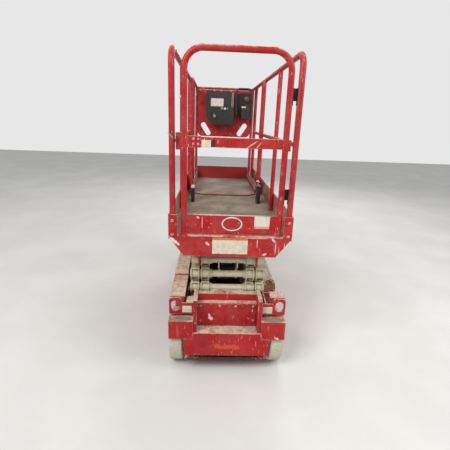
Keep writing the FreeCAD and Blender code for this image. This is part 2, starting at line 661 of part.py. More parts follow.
def knuckle(name, side):
    """A fork on the axle's end, its kingpin, the wheel's spindle and the steering arm."""
    low = "axle_low_z - fork_gap"
    high = "axle_high_z + fork_gap"
    deep = ("far_axle_y - knuckle_half_depth", "far_axle_y + knuckle_half_depth")
    pieces = [
        rod("z", "kingpin_radius", (f"{low} - fork_plate", f"{high} + fork_plate"),
            at_side(side, "kingpin_x"), "far_axle_y"),
        block(span(side, "knuckle_face_x - fork_plate", "knuckle_face_x"), deep,
              (f"{low} - fork_plate", f"{high} + fork_plate")),
        rod("x", "spindle_radius", span(side, "knuckle_face_x - fork_plate", "spindle_end_x"),
            "far_axle_y", "tyre_radius"),
        block(span(side, "kingpin_x - steer_arm_half_width", "kingpin_x + steer_arm_half_width"),
              ("steer_bar_y", "far_axle_y"), (f"{low} - fork_plate", low)),
        rod("z", "steer_arm_half_width", (f"{low} - fork_plate", low), at_side(side, "kingpin_x"),
            "steer_bar_y"),
    ]
    for bottom, top in ((f"{low} - fork_plate", low), (high, f"{high} + fork_plate")):
        pieces += [
            block(span(side, "kingpin_x", "knuckle_face_x"), deep, (bottom, top)),
            rod("z", "knuckle_half_depth", (bottom, top), at_side(side, "kingpin_x"), "far_axle_y"),
        ]
    part(name, fused(pieces))


def steering_bar():
    """The bar through the steering cylinder, with an eye under each steering arm."""
    pieces = [rod("x", "steer_bar_radius", ("-kingpin_x", "kingpin_x"), "steer_bar_y", "steer_bar_z")]
    for side in SIDES:
        pieces.append(rod("z", "steer_end_radius",
                          ("steer_bar_z - steer_end_radius", "steer_bar_z + steer_end_radius"),
                          at_side(side, "kingpin_x"), "steer_bar_y"))
    part("steering_bar", fused(pieces))


knuckle("knuckle_left", -1)
knuckle("knuckle_right", 1)
steering_bar()


# Entry end of the chassis: apron, treads, side posts, bolted panel

def entry_steps():
    pieces = [
        pad("xz", [[("-apron_bottom_half", "apron_bottom_z"), ("apron_bottom_half", "apron_bottom_z"),
                    ("apron_top_half", "box_bottom_z - cap_gap"), ("post_outer_x", "box_bottom_z - cap_gap"),
                    ("post_outer_x", "tread_one_z"), ("-post_outer_x", "tread_one_z"),
                    ("-post_outer_x", "box_bottom_z - cap_gap"),
                    ("-apron_top_half", "box_bottom_z - cap_gap")]],
            "-half_length", "apron_back_y"),
        block(("-post_outer_x", "post_outer_x"), ("apron_back_y", "tread_back_y"),
              ("tread_one_z - plate", "tread_one_z")),
        block(("-post_inner_x", "post_inner_x"), ("tread_back_y", "riser_y"),
              ("ledge_z - plate", "ledge_z")),
        block(("-post_inner_x", "post_inner_x"), ("riser_y", "riser_y + plate"),
              ("ledge_z - plate", "top_step_z")),
        block(("-post_inner_x", "post_inner_x"), ("riser_y", "riser_y + top_step_depth"),
              ("top_step_z - plate", "top_step_z")),
        block(("-shelf_half_width", "shelf_half_width"), ("riser_y", "riser_y + shelf_depth"),
              ("top_step_z - plate", "top_step_z")),
    ]
    for side in SIDES:
        pieces.append(block(span(side, "post_inner_x", "post_outer_x"),
                            ("-half_length + post_front_inset", "riser_y + top_step_depth"),
                            ("tread_one_z - plate", "top_step_z + post_rise")))
    part("entry_steps", fused(pieces))
    margin = "panel_margin"
    part("bolted_panel", block((f"-post_inner_x + {margin}", f"post_inner_x - {margin}"),
                               ("tread_back_y", "tread_back_y + panel_plate"),
                               (f"tread_one_z + {margin}", f"ledge_z - plate - seat_gap")))


entry_steps()


def corner_box(name, side, cover_end):
    """Sheet box in front of a wheel, the flange and ear over it, and the cover over the wheel."""
    inner = "post_outer_x"
    wide = span(side, inner, "half_width")
    ear_in = "half_width - ear_width"
    eye_x = at_side(side, "half_width - ear_width / 2")
    eye_low = "ear_eye_bottom_z + ear_eye_half_width"
    eye_high = "ear_eye_bottom_z + ear_eye_height - ear_eye_half_width"
    eye_deep = ("box_back_y - cap_gap", "box_back_y + plate + cap_gap")
    upright = ("box_back_y", "box_back_y + plate")
    back = "box_back_y + flange_depth"
    cover = [
        ("tray_lip_x", "fender_z - plate"), ("tray_lip_x", "fender_z"),
        ("tray_outer_x - tray_shoulder", "fender_z"), ("tray_outer_x", "fender_z - tray_shoulder"),
        ("tray_outer_x - plate", "fender_z - tray_shoulder"),
        ("tray_outer_x - tray_shoulder - plate / 2", "fender_z - plate"),
    ]
    pieces = [
        block(wide, ("-half_length", "apron_back_y"), ("box_bottom_z", "box_top_z")),
        block(wide, ("-half_length", f"{back} + plate"), ("box_top_z - plate", "box_top_z")),
        block(wide, (back, f"{back} + plate"), ("box_top_z - plate", "flange_z")),
        block(wide, ("box_back_y", f"{back} + plate"), ("flange_z - plate", "flange_z")),
        block(span(side, inner, ear_in), upright, ("flange_z", "shield_top_z")),
        block(span(side, ear_in, "half_width"), upright, ("flange_z", "ear_top_z - ear_corner")),
        block(span(side, f"{ear_in} + ear_corner", "half_width - ear_corner"), upright,
              ("flange_z", "ear_top_z")),
        pad("xz", [[(at_side(side, x), z) for x, z in cover]], "box_back_y + plate", cover_end),
        block(span(side, "tub_half_width", "tub_half_width + plate"), (back, cover_end),
              ("tyre_radius * 2", "fender_z - plate / 2")),
    ]
    for x in (f"{ear_in} + ear_corner", "half_width - ear_corner"):
        pieces.append(rod("y", "ear_corner", upright, at_side(side, x), "ear_top_z - ear_corner"))
    tools = [
        rod("y", "ear_eye_half_width", eye_deep, eye_x, eye_low),
        rod("y", "ear_eye_half_width", eye_deep, eye_x, eye_high),
        block(span(side, "half_width - ear_width / 2 - ear_eye_half_width",
                   "half_width - ear_width / 2 + ear_eye_half_width"), eye_deep, (eye_low, eye_high)),
    ]
    part(name, cut(fused(pieces), tools))


corner_box("corner_box_left", -1, "left_cover_end_y")
corner_box("corner_box_right", 1, "right_cover_end_y")


# Side trays, the blocks in them, and the pothole guards under them

def tray(name, side, top, lip):
    """A swing-out tray: bottom, outer wall with a bevelled cover, ends, open to the tub."""
    outline = [
        ("tray_inner_x", "tray_bottom_z"), ("tray_outer_x", "tray_bottom_z"),
        ("tray_outer_x", f"{top} - tray_shoulder"), ("tray_outer_x - tray_shoulder", top),
        ("tray_lip_x", top), ("tray_lip_x", lip),
        ("tray_lip_x + tray_sheet", lip),
        ("tray_lip_x + tray_sheet", f"{top} - tray_sheet"),
        ("tray_outer_x - tray_shoulder - tray_sheet / 2", f"{top} - tray_sheet"),
        ("tray_outer_x - tray_sheet", f"{top} - tray_shoulder - tray_sheet / 2"),
        ("tray_outer_x - tray_sheet", "tray_bottom_z + tray_sheet"),
        ("tray_inner_x", "tray_bottom_z + tray_sheet"),
    ]
    end = [
        ("tray_inner_x", "tray_bottom_z"), ("tray_outer_x", "tray_bottom_z"),
        ("tray_outer_x", f"{top} - tray_shoulder"), ("tray_outer_x - tray_shoulder", top),
        ("tray_lip_x", top), ("tray_lip_x", lip), ("tray_inner_x", lip),
    ]
    outline = [(at_side(side, x), z) for x, z in outline]
    end = [(at_side(side, x), z) for x, z in end]
    pieces = [
        pad("xz", [outline], "tray_near_y", "tray_far_y"),
        pad("xz", [end], "tray_near_y", "tray_near_y + tray_sheet"),
        pad("xz", [end], "tray_far_y - tray_sheet", "tray_far_y"),
    ]
    bores = []
    x = at_side(side, "tray_hinge_x")
    for seat in ("tray_hinge_low_z", "tray_hinge_high_z"):
        lug = (f"{seat} + seat_gap", f"{seat} + tray_lug_height")
        pieces += [
            rod("z", "tray_hinge_radius", lug, x, "tray_hinge_y"),
            block(span(side, "tray_hinge_x - tray_hinge_radius", "tray_outer_x"),
                  ("tray_hinge_y", "tray_near_y"), lug),
        ]
        bores.append(rod("z", "tray_pin_radius + running_gap", (seat, f"{seat} + 2 * tray_lug_height"),
                         x, "tray_hinge_y"))
    part(name, cut(fused(pieces), bores))


tray("tray_left", -1, "tray_top_z", "tray_lip_z")
tray("tray_right", 1, "right_tray_top_z", "right_tray_lip_z")


def tray_block(x_side, centre, length, height):
    """A plain block that stands on a tray's bottom."""
    wide = span(x_side, "tray_inner_x + cap_gap", "tray_inner_x + cap_gap + battery_width")
    return block(wide, (f"{centre} - {length} / 2", f"{centre} + {length} / 2"),
                 ("tray_bottom_z + tray_sheet", f"tray_bottom_z + tray_sheet + {height}"))


part("battery_block", tray_block(-1, "0", "battery_length", "battery_height"))
part("hydraulic_block", tray_block(1, "tray_near_y / 2", "pump_length", "pump_height"))
part("charger_block", tray_block(1, "tray_far_y / 2", "charger_length", "charger_height"))


def pothole_guards():
    """An angle under each tray."""
    long = ("guard_near_y", "guard_far_y")
    pieces = []
    for side in SIDES:
        pieces += [
            block(span(side, "tub_half_width", "tray_outer_x"), long,
                  ("tub_floor_z", "tub_floor_z + tray_sheet")),
            block(span(side, "tray_outer_x - tray_sheet", "tray_outer_x"), long,
                  ("guard_bottom_z", "tub_floor_z + tray_sheet")),
        ]
    part("pothole_guards", fused(pieces))


pothole_guards()


# Scissor arms.  Each pair is made flat along +Y from its end at the entry, then tilted.

def arm_tube(side, inner_face):
    """A tube with rounded ends and a boss around each of its three pins."""
    wide = span(side, inner_face, f"{inner_face} + arm_thickness")
    hollow = span(side, f"{inner_face} + arm_wall", f"{inner_face} + arm_thickness - arm_wall")
    half = "arm_height / 2"
    shell = fused([
        block(wide, ("0", "arm_length"), (f"-{half}", half)),
        rod("x", half, wide, "0", "0"),
        rod("x", half, wide, "arm_length", "0"),
    ])
    tube = cut(shell, [block(hollow, ("-arm_height", "arm_length + arm_height"),
                             (f"-{half} + arm_wall", f"{half} - arm_wall"))])
    return fused([tube] + [rod("x", "boss_radius", wide, y, "0") for y in PIN_SPOTS])


PIN_SPOTS = ("0", "arm_length / 2", "arm_length")


def roller(side, face, y):
    """A track roller on its pin, outside an arm's face."""
    near = f"{face} + roller_gap"
    return [
        rod("x", "roller_pin_radius", span(side, f"{face} - arm_wall", f"{near} + roller_width"), y, "0"),
        rod("x", "roller_radius", span(side, near, f"{near} + roller_width"), y, "0"),
    ]


def outer_arms(level):
    """The outer pair of one level: from the pins at the entry end up to the far end."""
    pieces, bores = [], []
    for side in SIDES:
        pieces.append(arm_tube(side, "outer_arm_x"))
        wide = span(side, "outer_arm_x - cap_gap", "outer_face_x + cap_gap")
        spots = PIN_SPOTS[:2] if level == 4 else PIN_SPOTS
        bores += [rod("x", "pin_radius + running_gap", wide, y, "0") for y in spots]
    solid = cut(fused(pieces), bores)
    if level == 4:
        rollers = []
        for side in SIDES:
            rollers += roller(side, "outer_face_x", "arm_length")
        solid = fused([solid] + rollers)
    place(solid, "0", "pin_y", f"row_one_z + {level - 1} * row_rise")
    tilt(solid, "arm_tilt", 1)
    part(f"outer_arms_{level}", solid)


def scissor_pin(side, y):
    """A spacer, the pin through the outer arm and its cap."""
    return [
        rod("x", "pin_cap_radius", span(side, "inner_face_x", "outer_arm_x - cap_gap"), y, "0"),
        rod("x", "pin_radius", span(side, "inner_face_x - arm_wall", "outer_face_x + cap_gap"), y, "0"),
        rod("x", "pin_cap_radius",
            span(side, "outer_face_x + cap_gap", "outer_face_x + cap_gap + pin_cap_width"), y, "0"),
    ]


def cylinder_lugs(low_y, high_y):
    """Two plates on a cross tube that hold one end of the lift cylinder."""
    plates = [block(span(side, "lug_inner_x", "lug_inner_x + lug_plate"), (low_y, high_y),
                    ("-lug_half_height", "lug_half_height")) for side in SIDES]
    return plates


def inner_arms(level):
    """The inner pair of one level: from the pins at the entry end down to the far end."""
    pieces = []
    for side in SIDES:
        pieces.append(arm_tube(side, "inner_arm_x"))
        if level < 4:
            pieces += scissor_pin(side, PIN_SPOTS[0])
        pieces += scissor_pin(side, PIN_SPOTS[1])
        if level > 1:
            pieces += scissor_pin(side, PIN_SPOTS[2])
        else:
            pieces += roller(side, "inner_face_x", "arm_length")
    for y in (PIN_SPOTS[0], PIN_SPOTS[2]):
        pieces.append(rod("x", "cross_tube_radius", ("-inner_arm_x - arm_wall", "inner_arm_x + arm_wall"),
                          y, "0"))
    if level == 2:
        low = "arm_length - lug_reach - lug_half_height"
        pieces += cylinder_lugs(low, "arm_length")
        pieces.append(rod("x", "cylinder_pin_radius", ("-lug_inner_x", "lug_inner_x"),
                          "arm_length - lug_reach", "0"))
    if level == 3:
        pieces += cylinder_lugs("0", "lug_reach + lug_half_height")
    solid = fused(pieces)
    if level == 4:
        bores = [rod("x", "pin_radius + running_gap",
                     span(side, "inner_face_x - pin_depth - cap_gap", "inner_face_x + cap_gap"), "0", "0")
                 for side in SIDES]
        solid = cut(solid, bores)
    place(solid, "0", "pin_y", f"row_one_z + {level} * row_rise")
    tilt(solid, "arm_tilt", -1)
    part(f"inner_arms_{level}", solid)


for level in range(1, 5):
    outer_arms(level)
    inner_arms(level)


# Lift cylinder, made along -Y from its lower pin, then tilted into place

def lift_cylinder():
    eye = ("-lug_inner_x + cap_gap", "lug_inner_x - cap_gap")
    barrel_end = "-(cylinder_length - barrel_end_gap)"
    barrel = cut(
        fused([rod("x", "eye_radius", eye, "0", "0"),
               rod("y", "barrel_radius", (barrel_end, "-cylinder_pin_radius"), "0", "0")]),
        [rod("y", "barrel_bore_radius", (f"{barrel_end} + gland_length", "-barrel_base"), "0", "0"),
         rod("y", "rod_radius + running_gap", (f"{barrel_end} - cap_gap", "-barrel_base"), "0", "0"),
         rod("x", "cylinder_pin_radius + running_gap", ("-lug_inner_x", "lug_inner_x"), "0", "0")])
    piston_back = "-barrel_base - cap_gap"
    stem = fused([
        rod("y", "rod_radius", ("-cylinder_length", piston_back), "0", "0"),
        rod("y", "barrel_bore_radius - running_gap", (f"{piston_back} - piston_length", piston_back),
            "0", "0"),
        rod("x", "eye_radius", eye, "-cylinder_length", "0"),
    ])
    for name, solid in (("lift_barrel", barrel), ("lift_rod", stem)):
        place(solid, "0", "pin_y + (arm_length - lug_reach) * cos(arm_tilt)",
              "row_one_z + 2 * row_rise - (arm_length - lug_reach) * sin(arm_tilt)")
        tilt(solid, "cylinder_tilt", -1)
        part(name, solid)


lift_cylinder()


# Platform: deck, bearers, side members with the roller channels, and the top pins

def platform_deck():
    """The deck's sheet with a turned edge on each side."""
    long = ("platform_near_y + skirt_depth", "platform_far_y")
    pieces = [block(("-half_width", "half_width"), long, ("deck_z - deck_sheet", "deck_z"))]
    for side in SIDES:
        pieces.append(block(span(side, "half_width - deck_sheet", "half_width"), long,
                            ("deck_edge_z", "deck_z")))
    part("platform_deck", fused(pieces))


def deck_bearers():
    """Cross bearers under the deck, between the side members."""
    pieces = []
    under = "deck_z - deck_sheet"
    for index in range(BEARERS):
        y = f"first_bearer_y + {index} * bearer_pitch"
        pieces.append(block(("-frame_half_width + frame_wall", "frame_half_width - frame_wall"),
                            (y, f"{y} + bearer_width"), (f"{under} - bearer_height", under)))
    part("deck_bearers", fused(pieces))


def platform_frame():
    """On each side an angle under the deck, its roller channel, and the plate with the top pin."""
    long, under = ("platform_near_y + skirt_depth", "platform_far_y"), "deck_z - deck_sheet"
    channel = ("track_near_y", "channel_far_y")
    pieces = []
    for side in SIDES:
        lip = span(side, "channel_lip_x", "channel_back_x")
        pieces += [
            block(span(side, "frame_half_width - frame_wall", "frame_half_width"), long,
                  ("frame_bottom_z", under)),
            block(span(side, "frame_half_width - frame_flange", "frame_half_width"), long,
                  ("frame_bottom_z", "frame_bottom_z + frame_wall")),
            block(span(side, "channel_back_x", "channel_back_x + channel_sheet"), channel,
                  ("channel_low_z", "frame_bottom_z + channel_seam")),
            block(lip, channel, ("channel_low_z", "channel_low_z + channel_sheet")),
            block(lip, channel, ("channel_high_z - channel_sheet", "channel_high_z")),
            block(span(side, "hanger_x", "hanger_x + hanger_plate"),
                  ("pin_y - hanger_half_depth", "pin_y + hanger_half_depth"),
                  ("top_row_z - hanger_foot", under)),
            rod("x", "pin_radius", span(side, "inner_face_x - pin_depth", "hanger_x"),
                "pin_y", "top_row_z"),
            block(span(side, "hanger_x", "frame_half_width - frame_wall"),
                  ("pin_y - hanger_plate / 2", "pin_y + hanger_plate / 2"),
                  ("frame_bottom_z + frame_wall", under)),
        ]
    part("platform_frame", fused(pieces))


platform_deck()
deck_bearers()
platform_frame()


def entry_frame():
    """The folded sheet at the entry: a sill under the gate and a wing beside each post."""
    outline = [
        ("-frame_half_width", "frame_bottom_z"), ("frame_half_width", "frame_bottom_z"),
        ("half_width", "skirt_chamfer_z"), ("half_width", "skirt_wing_z"), ("skirt_wing_x", "skirt_wing_z"),
        ("skirt_wing_x", "skirt_sill_z"), ("-skirt_wing_x", "skirt_sill_z"),
        ("-skirt_wing_x", "skirt_wing_z"), ("-half_width", "skirt_wing_z"),
        ("-half_width", "skirt_chamfer_z"),
    ]
    front = pad("xz", [outline], "platform_near_y", "platform_near_y + skirt_sheet")
    deep = ("platform_near_y", "platform_near_y + skirt_depth")
    pieces = [front, block(("-skirt_wing_x", "skirt_wing_x"), deep, ("skirt_sill_z - skirt_sheet",
                                                                    "skirt_sill_z"))]
    for side in SIDES:
        pieces.append(block(span(side, "half_width - skirt_sheet", "half_width"), deep,
                            ("deck_edge_z", "skirt_wing_z")))
    part("entry_frame", fused(pieces))


entry_frame()


# Guard rails

# A torus quarter starts along its own +X and turns towards its own +Y: its corner points that
# way at the far and the near end of a side, and at the right and the left of the gate.
TURNS = {
    name: FreeCAD.Rotation(FreeCAD.Vector(*along), FreeCAD.Vector(*towards), FreeCAD.Vector(*across), "ZXY")
    for name, along, towards, across in (
        ("far", (0, 1, 0), (0, 0, 1), (1, 0, 0)),
        ("near", (0, 0, 1), (0, -1, 0), (1, 0, 0)),
        ("right", (1, 0, 0), (0, 0, 1), (0, -1, 0)),
        ("left", (0, 0, 1), (-1, 0, 0), (0, -1, 0)),
    )
}


def side_rails(name, side):
    """Posts, top rail and mid rail of one side; the top rail bends down at both ends."""
    x = at_side(side, "rail_x")
    radius = "tube_radius"
    top = "rail_centre_z"
    foot = "deck_z"
    near_bend, far_bend = "rail_near_y + rail_bend", "rail_far_y - rail_bend"
    pieces = [
        rod("z", radius, (foot, f"{top} - rail_bend"), x, "rail_near_y"),
        rod("z", radius, (foot, f"{top} - rail_bend"), x, "rail_far_y"),
        rod("y", radius, (near_bend, far_bend), x, top),
        rod("y", "rail_radius", ("rail_near_y", "rail_far_y"), x, "rail_mid_z"),
        rod("z", "post_radius", (foot, top), x, "post_two_y"),
        rod("z", "post_radius", (foot, top), x, "post_three_y"),
        elbow("rail_bend", radius, x, near_bend, f"{top} - rail_bend", TURNS["near"]),
        elbow("rail_bend", radius, x, far_bend, f"{top} - rail_bend", TURNS["far"]),
    ]
    part(name, fused(pieces))


side_rails("guard_rails_left", -1)
side_rails("guard_rails_right", 1)


def toe_boards():
    """A board on edge along each side of the deck."""
    long = ("platform_near_y + skirt_depth", "rail_far_y")
    part("toe_boards", fused([block(span(side, "half_width - toe_sheet", "half_width"), long,
                                    ("deck_z", "deck_z + toe_height")) for side in SIDES]))


def guide_blocks():
    """Blocks on the deck that guide the roll-out deck's rails."""
    wide = ("inner_rail_x - inner_tube_radius - guide_width", "inner_rail_x - inner_tube_radius - roller_gap")
    part("guide_blocks", fused([block(span(side, *wide), ("guide_y", "guide_y + guide_length"),
                                      ("deck_z", "deck_z + guide_height")) for side in SIDES]))


toe_boards()
guide_blocks()


# Gate

def gate():
    """An arch of tube with a middle bar, a panel, a latch and its halves of the hinges."""
    y, radius, top = "rail_near_y", "tube_radius", "rail_centre_z"
    shoulder = f"{top} - gate_bend"
    pieces = [
        rod("z", radius, ("gate_bottom_z", shoulder), "gate_left_x", y),
        rod("z", radius, ("gate_bottom_z", shoulder), "gate_right_x", y),
        rod("x", radius, ("gate_left_x + gate_bend", "gate_right_x - gate_bend"), y, top),
        elbow("gate_bend", radius, "gate_right_x - gate_bend", y, shoulder, TURNS["right"]),
        elbow("gate_bend", radius, "gate_left_x + gate_bend", y, shoulder, TURNS["left"]),
        block(("gate_left_x", "gate_right_x"), (f"{y} - gate_bar_depth / 2", f"{y} + gate_bar_depth / 2"),
              ("rail_mid_z - gate_bar_height / 2", "rail_mid_z + gate_bar_height / 2")),
        block(("gate_left_x", "gate_right_x"), (f"{y} - gate_sheet / 2", f"{y} + gate_sheet / 2"),
              ("gate_bottom_z", "gate_panel_z")),
        block(("gate_left_x - tube_radius - latch_reach", "gate_left_x"),
              (f"{y} - latch_half_depth", f"{y} + latch_half_depth"),
              ("rail_mid_z - latch_half_height", "rail_mid_z + latch_half_height")),
    ]
    for middle in ("hinge_low_z", "hinge_high_z"):
        tall = (f"{middle} - knuckle_share", f"{middle} + knuckle_share")
        pieces += [
            rod("z", "hinge_radius", tall, "hinge_x", "hinge_y"),
            block(("gate_right_x", "hinge_x"), ("hinge_y - hinge_pin_radius", "hinge_y + hinge_radius"), tall),
        ]
    bores = [rod("z", "hinge_pin_radius + running_gap",
                 (f"{middle} - knuckle_share - cap_gap", f"{middle} + knuckle_share + cap_gap"),
                 "hinge_x", "hinge_y") for middle in ("hinge_low_z", "hinge_high_z")]
    part("gate", cut(fused(pieces), bores))


def gate_hinges():
    """The post's halves of the hinges, with the pins."""
    pieces = []
    for middle in ("hinge_low_z", "hinge_high_z"):
        pieces.append(rod("z", "hinge_pin_radius", (f"{middle} - hinge_half_height",
                                                    f"{middle} + hinge_half_height"), "hinge_x", "hinge_y"))
        for low, high in ((f"{middle} + knuckle_share + cap_gap", f"{middle} + hinge_half_height"),
                          (f"{middle} - hinge_half_height", f"{middle} - knuckle_share - cap_gap")):
            pieces += [
                rod("z", "hinge_radius", (low, high), "hinge_x", "hinge_y"),
                block(("hinge_x", "rail_x"), ("hinge_y - hinge_pin_radius", "hinge_y + hinge_pin_radius"),
                      (low, high)),
            ]
    post = rod("z", "tube_radius", ("deck_z", "rail_top_z"), "rail_x", "rail_near_y")
    part("gate_hinges", cut(fused(pieces), [post]))


gate()
gate_hinges()


# Roll-out deck with its own rails

def extension_deck():
    low, high = "extension_bottom_z", "extension_top_z"
    side = "extension_half_width"
    near = "extension_near_y"
    plate = pad("xy", [[
        (f"-{side} + extension_corner", near), (f"{side} - extension_corner", near),
        (side, f"{near} + extension_corner"), (side, "platform_far_y"), (f"-{side}", "platform_far_y"),
        (f"-{side}", f"{near} + extension_corner")]], low, high)
    pieces = [plate]
    for hand in SIDES:
        pieces.append(block(span(hand, f"{side} - skid_width", side),
                            (f"{near} + extension_corner", "platform_far_y"), ("deck_z + seat_gap", low)))
        pieces.append(block(span(hand, f"{side} - toe_sheet", side),
                            (f"{near} + extension_corner", "platform_far_y"),
                            (high, f"{high} + extension_kerb")))
    pieces.append(block((f"-{side}", side), ("platform_far_y - toe_sheet", "platform_far_y"),
                        (high, f"{high} + toe_height")))
    part("extension_deck", fused(pieces))


def extension_rails():
    """Side rails that end in narrow loops, far posts and the cross rails between them."""
    post, top, foot = "inner_tube_radius", "inner_centre_z", "extension_top_z"
    head = f"{top} - loop_bend"
    pieces = []
    for side in SIDES:
        x = at_side(side, "inner_rail_x")
        base = span(side, "extension_half_width - toe_sheet", "inner_rail_x + inner_tube_radius")
        pieces += [
            rod("z", post, ("extension_bottom_z", head), x, "loop_y"),
            elbow("loop_bend", post, x, "loop_y + loop_bend", head, TURNS["near"]),
            rod("y", post, ("loop_y + loop_bend", "loop_y + loop_width"), x, top),
            rod("z", "cross_rail_radius", ("extension_bottom_z", top), x, "loop_y + loop_width"),
            rod("z", post, ("extension_bottom_z", f"{top} + {post}"), x, "inner_far_y"),
            rod("y", "inner_rail_radius", ("loop_y + loop_width", "inner_far_y"), x, top),
            rod("y", "inner_rail_radius", ("loop_y", "inner_far_y"), x, "inner_mid_z"),
            block(base, ("loop_y - inner_tube_radius", "inner_far_y + inner_tube_radius"),
                  ("extension_bottom_z", foot)),
        ]
    across = ("-inner_rail_x", "inner_rail_x")
    pieces += [
        rod("x", "cross_rail_radius", across, "inner_far_y", top),
        rod("x", "cross_rail_radius", across, "inner_far_y", "inner_mid_z"),
    ]
    deck = block(("-extension_half_width", "extension_half_width"), ("extension_near_y", "platform_far_y"),
                 ("extension_bottom_z", foot))
    part("extension_rails", cut(fused(pieces), [deck]))


extension_deck()
extension_rails()


def front_panel():
    """The sheet at the far end with round lower corners and a slanted eye near each of them."""
    thick = ("panel_face_y", "inner_far_y + toe_sheet / 2")
    corner_x, corner_z = "front_panel_half - panel_corner", "front_panel_bottom_z + panel_corner"
    through = ("-toe_sheet", "toe_sheet")
    straight = "(panel_eye_half_width - panel_eye_half_height)"
    pieces = [
        block(("-front_panel_half", "front_panel_half"), thick, (corner_z, "rail_foot_z")),
        block((f"-({corner_x})", corner_x), thick, ("front_panel_bottom_z", corner_z)),
    ]
    eyes = []
    for side in SIDES:
        pieces.append(rod("y", "panel_corner", thick, at_side(side, corner_x), corner_z))
        eye = fused([
            block((f"-{straight}", straight), through, ("-panel_eye_half_height", "panel_eye_half_height")),
            rod("y", "panel_eye_half_height", through, f"-{straight}", "0"),
            rod("y", "panel_eye_half_height", through, straight, "0"),
        ])
        place(eye, f"{side} * panel_eye_x", "inner_far_y", "panel_eye_z")
        tilt(eye, "panel_eye_tilt", -side, (0, 1, 0))
        eyes.append(eye)
    part("front_panel", cut(fused(pieces), eyes))


front_panel()


# Platform controls at the far end

def bracket(x, high):
    """A short bracket between a control and the panel behind it."""
    return block((f"{x} - strap_width / 2", f"{x} + strap_width / 2"),
                 ("console_back_y", "panel_face_y"), (f"{high} - strap_width", high))


def control_box():
    """The box of switches, held in front of the far panel."""
    deep = ("console_back_y - console_depth", "console_back_y")
    front = [
        ("console_low_x + console_corner_width", "console_low_z"), ("console_high_x", "console_low_z"),
        ("console_high_x", "console_high_z"), ("console_low_x", "console_high_z"),
        ("console_low_x", "console_low_z + console_corner_height"),
    ]
    pieces = [pad("xz", [front], *deep)]
    for x in ("console_low_x + strap_inset", "console_high_x - strap_inset"):
        for high in ("console_high_z", "console_low_z + console_corner_height + strap_width"):
            pieces.append(bracket(x, high))
    part("control_box", fused(pieces))


def control_stick():
    """The stick with its knob on a square base."""
    knob = doc.addObject("Part::Sphere", "Knob")
    bind(knob, "Radius", "knob_radius")
    place(knob, "stick_x", "stick_y", "stick_foot_z + stick_height")
    part("control_stick", fused([
        block(("stick_x - stick_base / 2", "stick_x + stick_base / 2"),
              ("console_back_y - stick_base", "console_back_y"), ("stick_foot_z - stick_base", "stick_foot_z")),
        rod("z", "stick_radius", ("stick_foot_z", "stick_foot_z + stick_height"), "stick_x", "stick_y"),
        knob,
        bracket("stick_x", "stick_foot_z"),
        bracket("stick_x", "stick_foot_z - stick_base / 2"),
    ]))


control_box()
control_stick()


# Check every piece, then write it

doc.recompute()
for item in doc.Objects:
    for flaw in ("Invalid", "Error"):
        if flaw in item.State:
            raise RuntimeError(f"{item.Name} of {item.Label} is {flaw}")
os.makedirs("parts", exist_ok=True)
for item in PARTS:
    if item.Shape.isNull() or not item.Shape.isValid():
        raise RuntimeError(f"{item.Label} has no valid shape")
    item.Shape.exportStep(f"parts/{item.Label}.step")
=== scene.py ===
import json
import math
import bmesh
import bpy
from mathutils import Matrix, Vector


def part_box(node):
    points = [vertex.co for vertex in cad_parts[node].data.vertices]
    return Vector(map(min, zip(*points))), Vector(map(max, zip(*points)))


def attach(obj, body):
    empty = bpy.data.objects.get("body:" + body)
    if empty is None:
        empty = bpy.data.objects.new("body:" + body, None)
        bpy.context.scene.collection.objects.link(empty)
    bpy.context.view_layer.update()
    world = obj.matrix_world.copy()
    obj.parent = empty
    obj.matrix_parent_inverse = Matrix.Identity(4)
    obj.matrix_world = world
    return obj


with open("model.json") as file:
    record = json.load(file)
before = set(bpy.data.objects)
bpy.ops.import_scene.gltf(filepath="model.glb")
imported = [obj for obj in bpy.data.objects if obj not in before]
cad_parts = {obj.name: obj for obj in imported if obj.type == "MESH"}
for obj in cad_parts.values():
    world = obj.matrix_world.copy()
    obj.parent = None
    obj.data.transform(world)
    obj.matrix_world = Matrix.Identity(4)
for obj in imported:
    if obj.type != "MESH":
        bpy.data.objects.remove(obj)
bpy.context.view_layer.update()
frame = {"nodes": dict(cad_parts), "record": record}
NODES = frame["nodes"]
SIDES = {"left": -1, "right": 1}
LEVELS = (1, 2, 3, 4)


# Shader expressions

class Value:
    """A socket that Python's operators work on, one Math node for each."""

    def __init__(self, shader, socket):
        self.shader = shader
        self.socket = socket

    def math(self, operation, *terms):
        return self.shader.node("Math", {"operation": operation}, *terms)

    def __add__(self, other):
        return self.math("ADD", self, other)

    def __radd__(self, other):
        return self.math("ADD", other, self)

    def __sub__(self, other):
        return self.math("SUBTRACT", self, other)

    def __rsub__(self, other):
        return self.math("SUBTRACT", other, self)

    def __mul__(self, other):
        return self.math("MULTIPLY", self, other)

    def __rmul__(self, other):
        return self.math("MULTIPLY", other, self)

    def above(self, low, high):
        """0 up to low, 1 from high on, smooth in between."""
        return self.shader.node("MapRange", {"interpolation_type": "SMOOTHSTEP"}, self, low, high)

    def below(self, low, high):
        return 1 - self.above(low, high)

    def most(self, other):
        return self.math("MAXIMUM", self, other)

    def least(self, other):
        return self.math("MINIMUM", self, other)


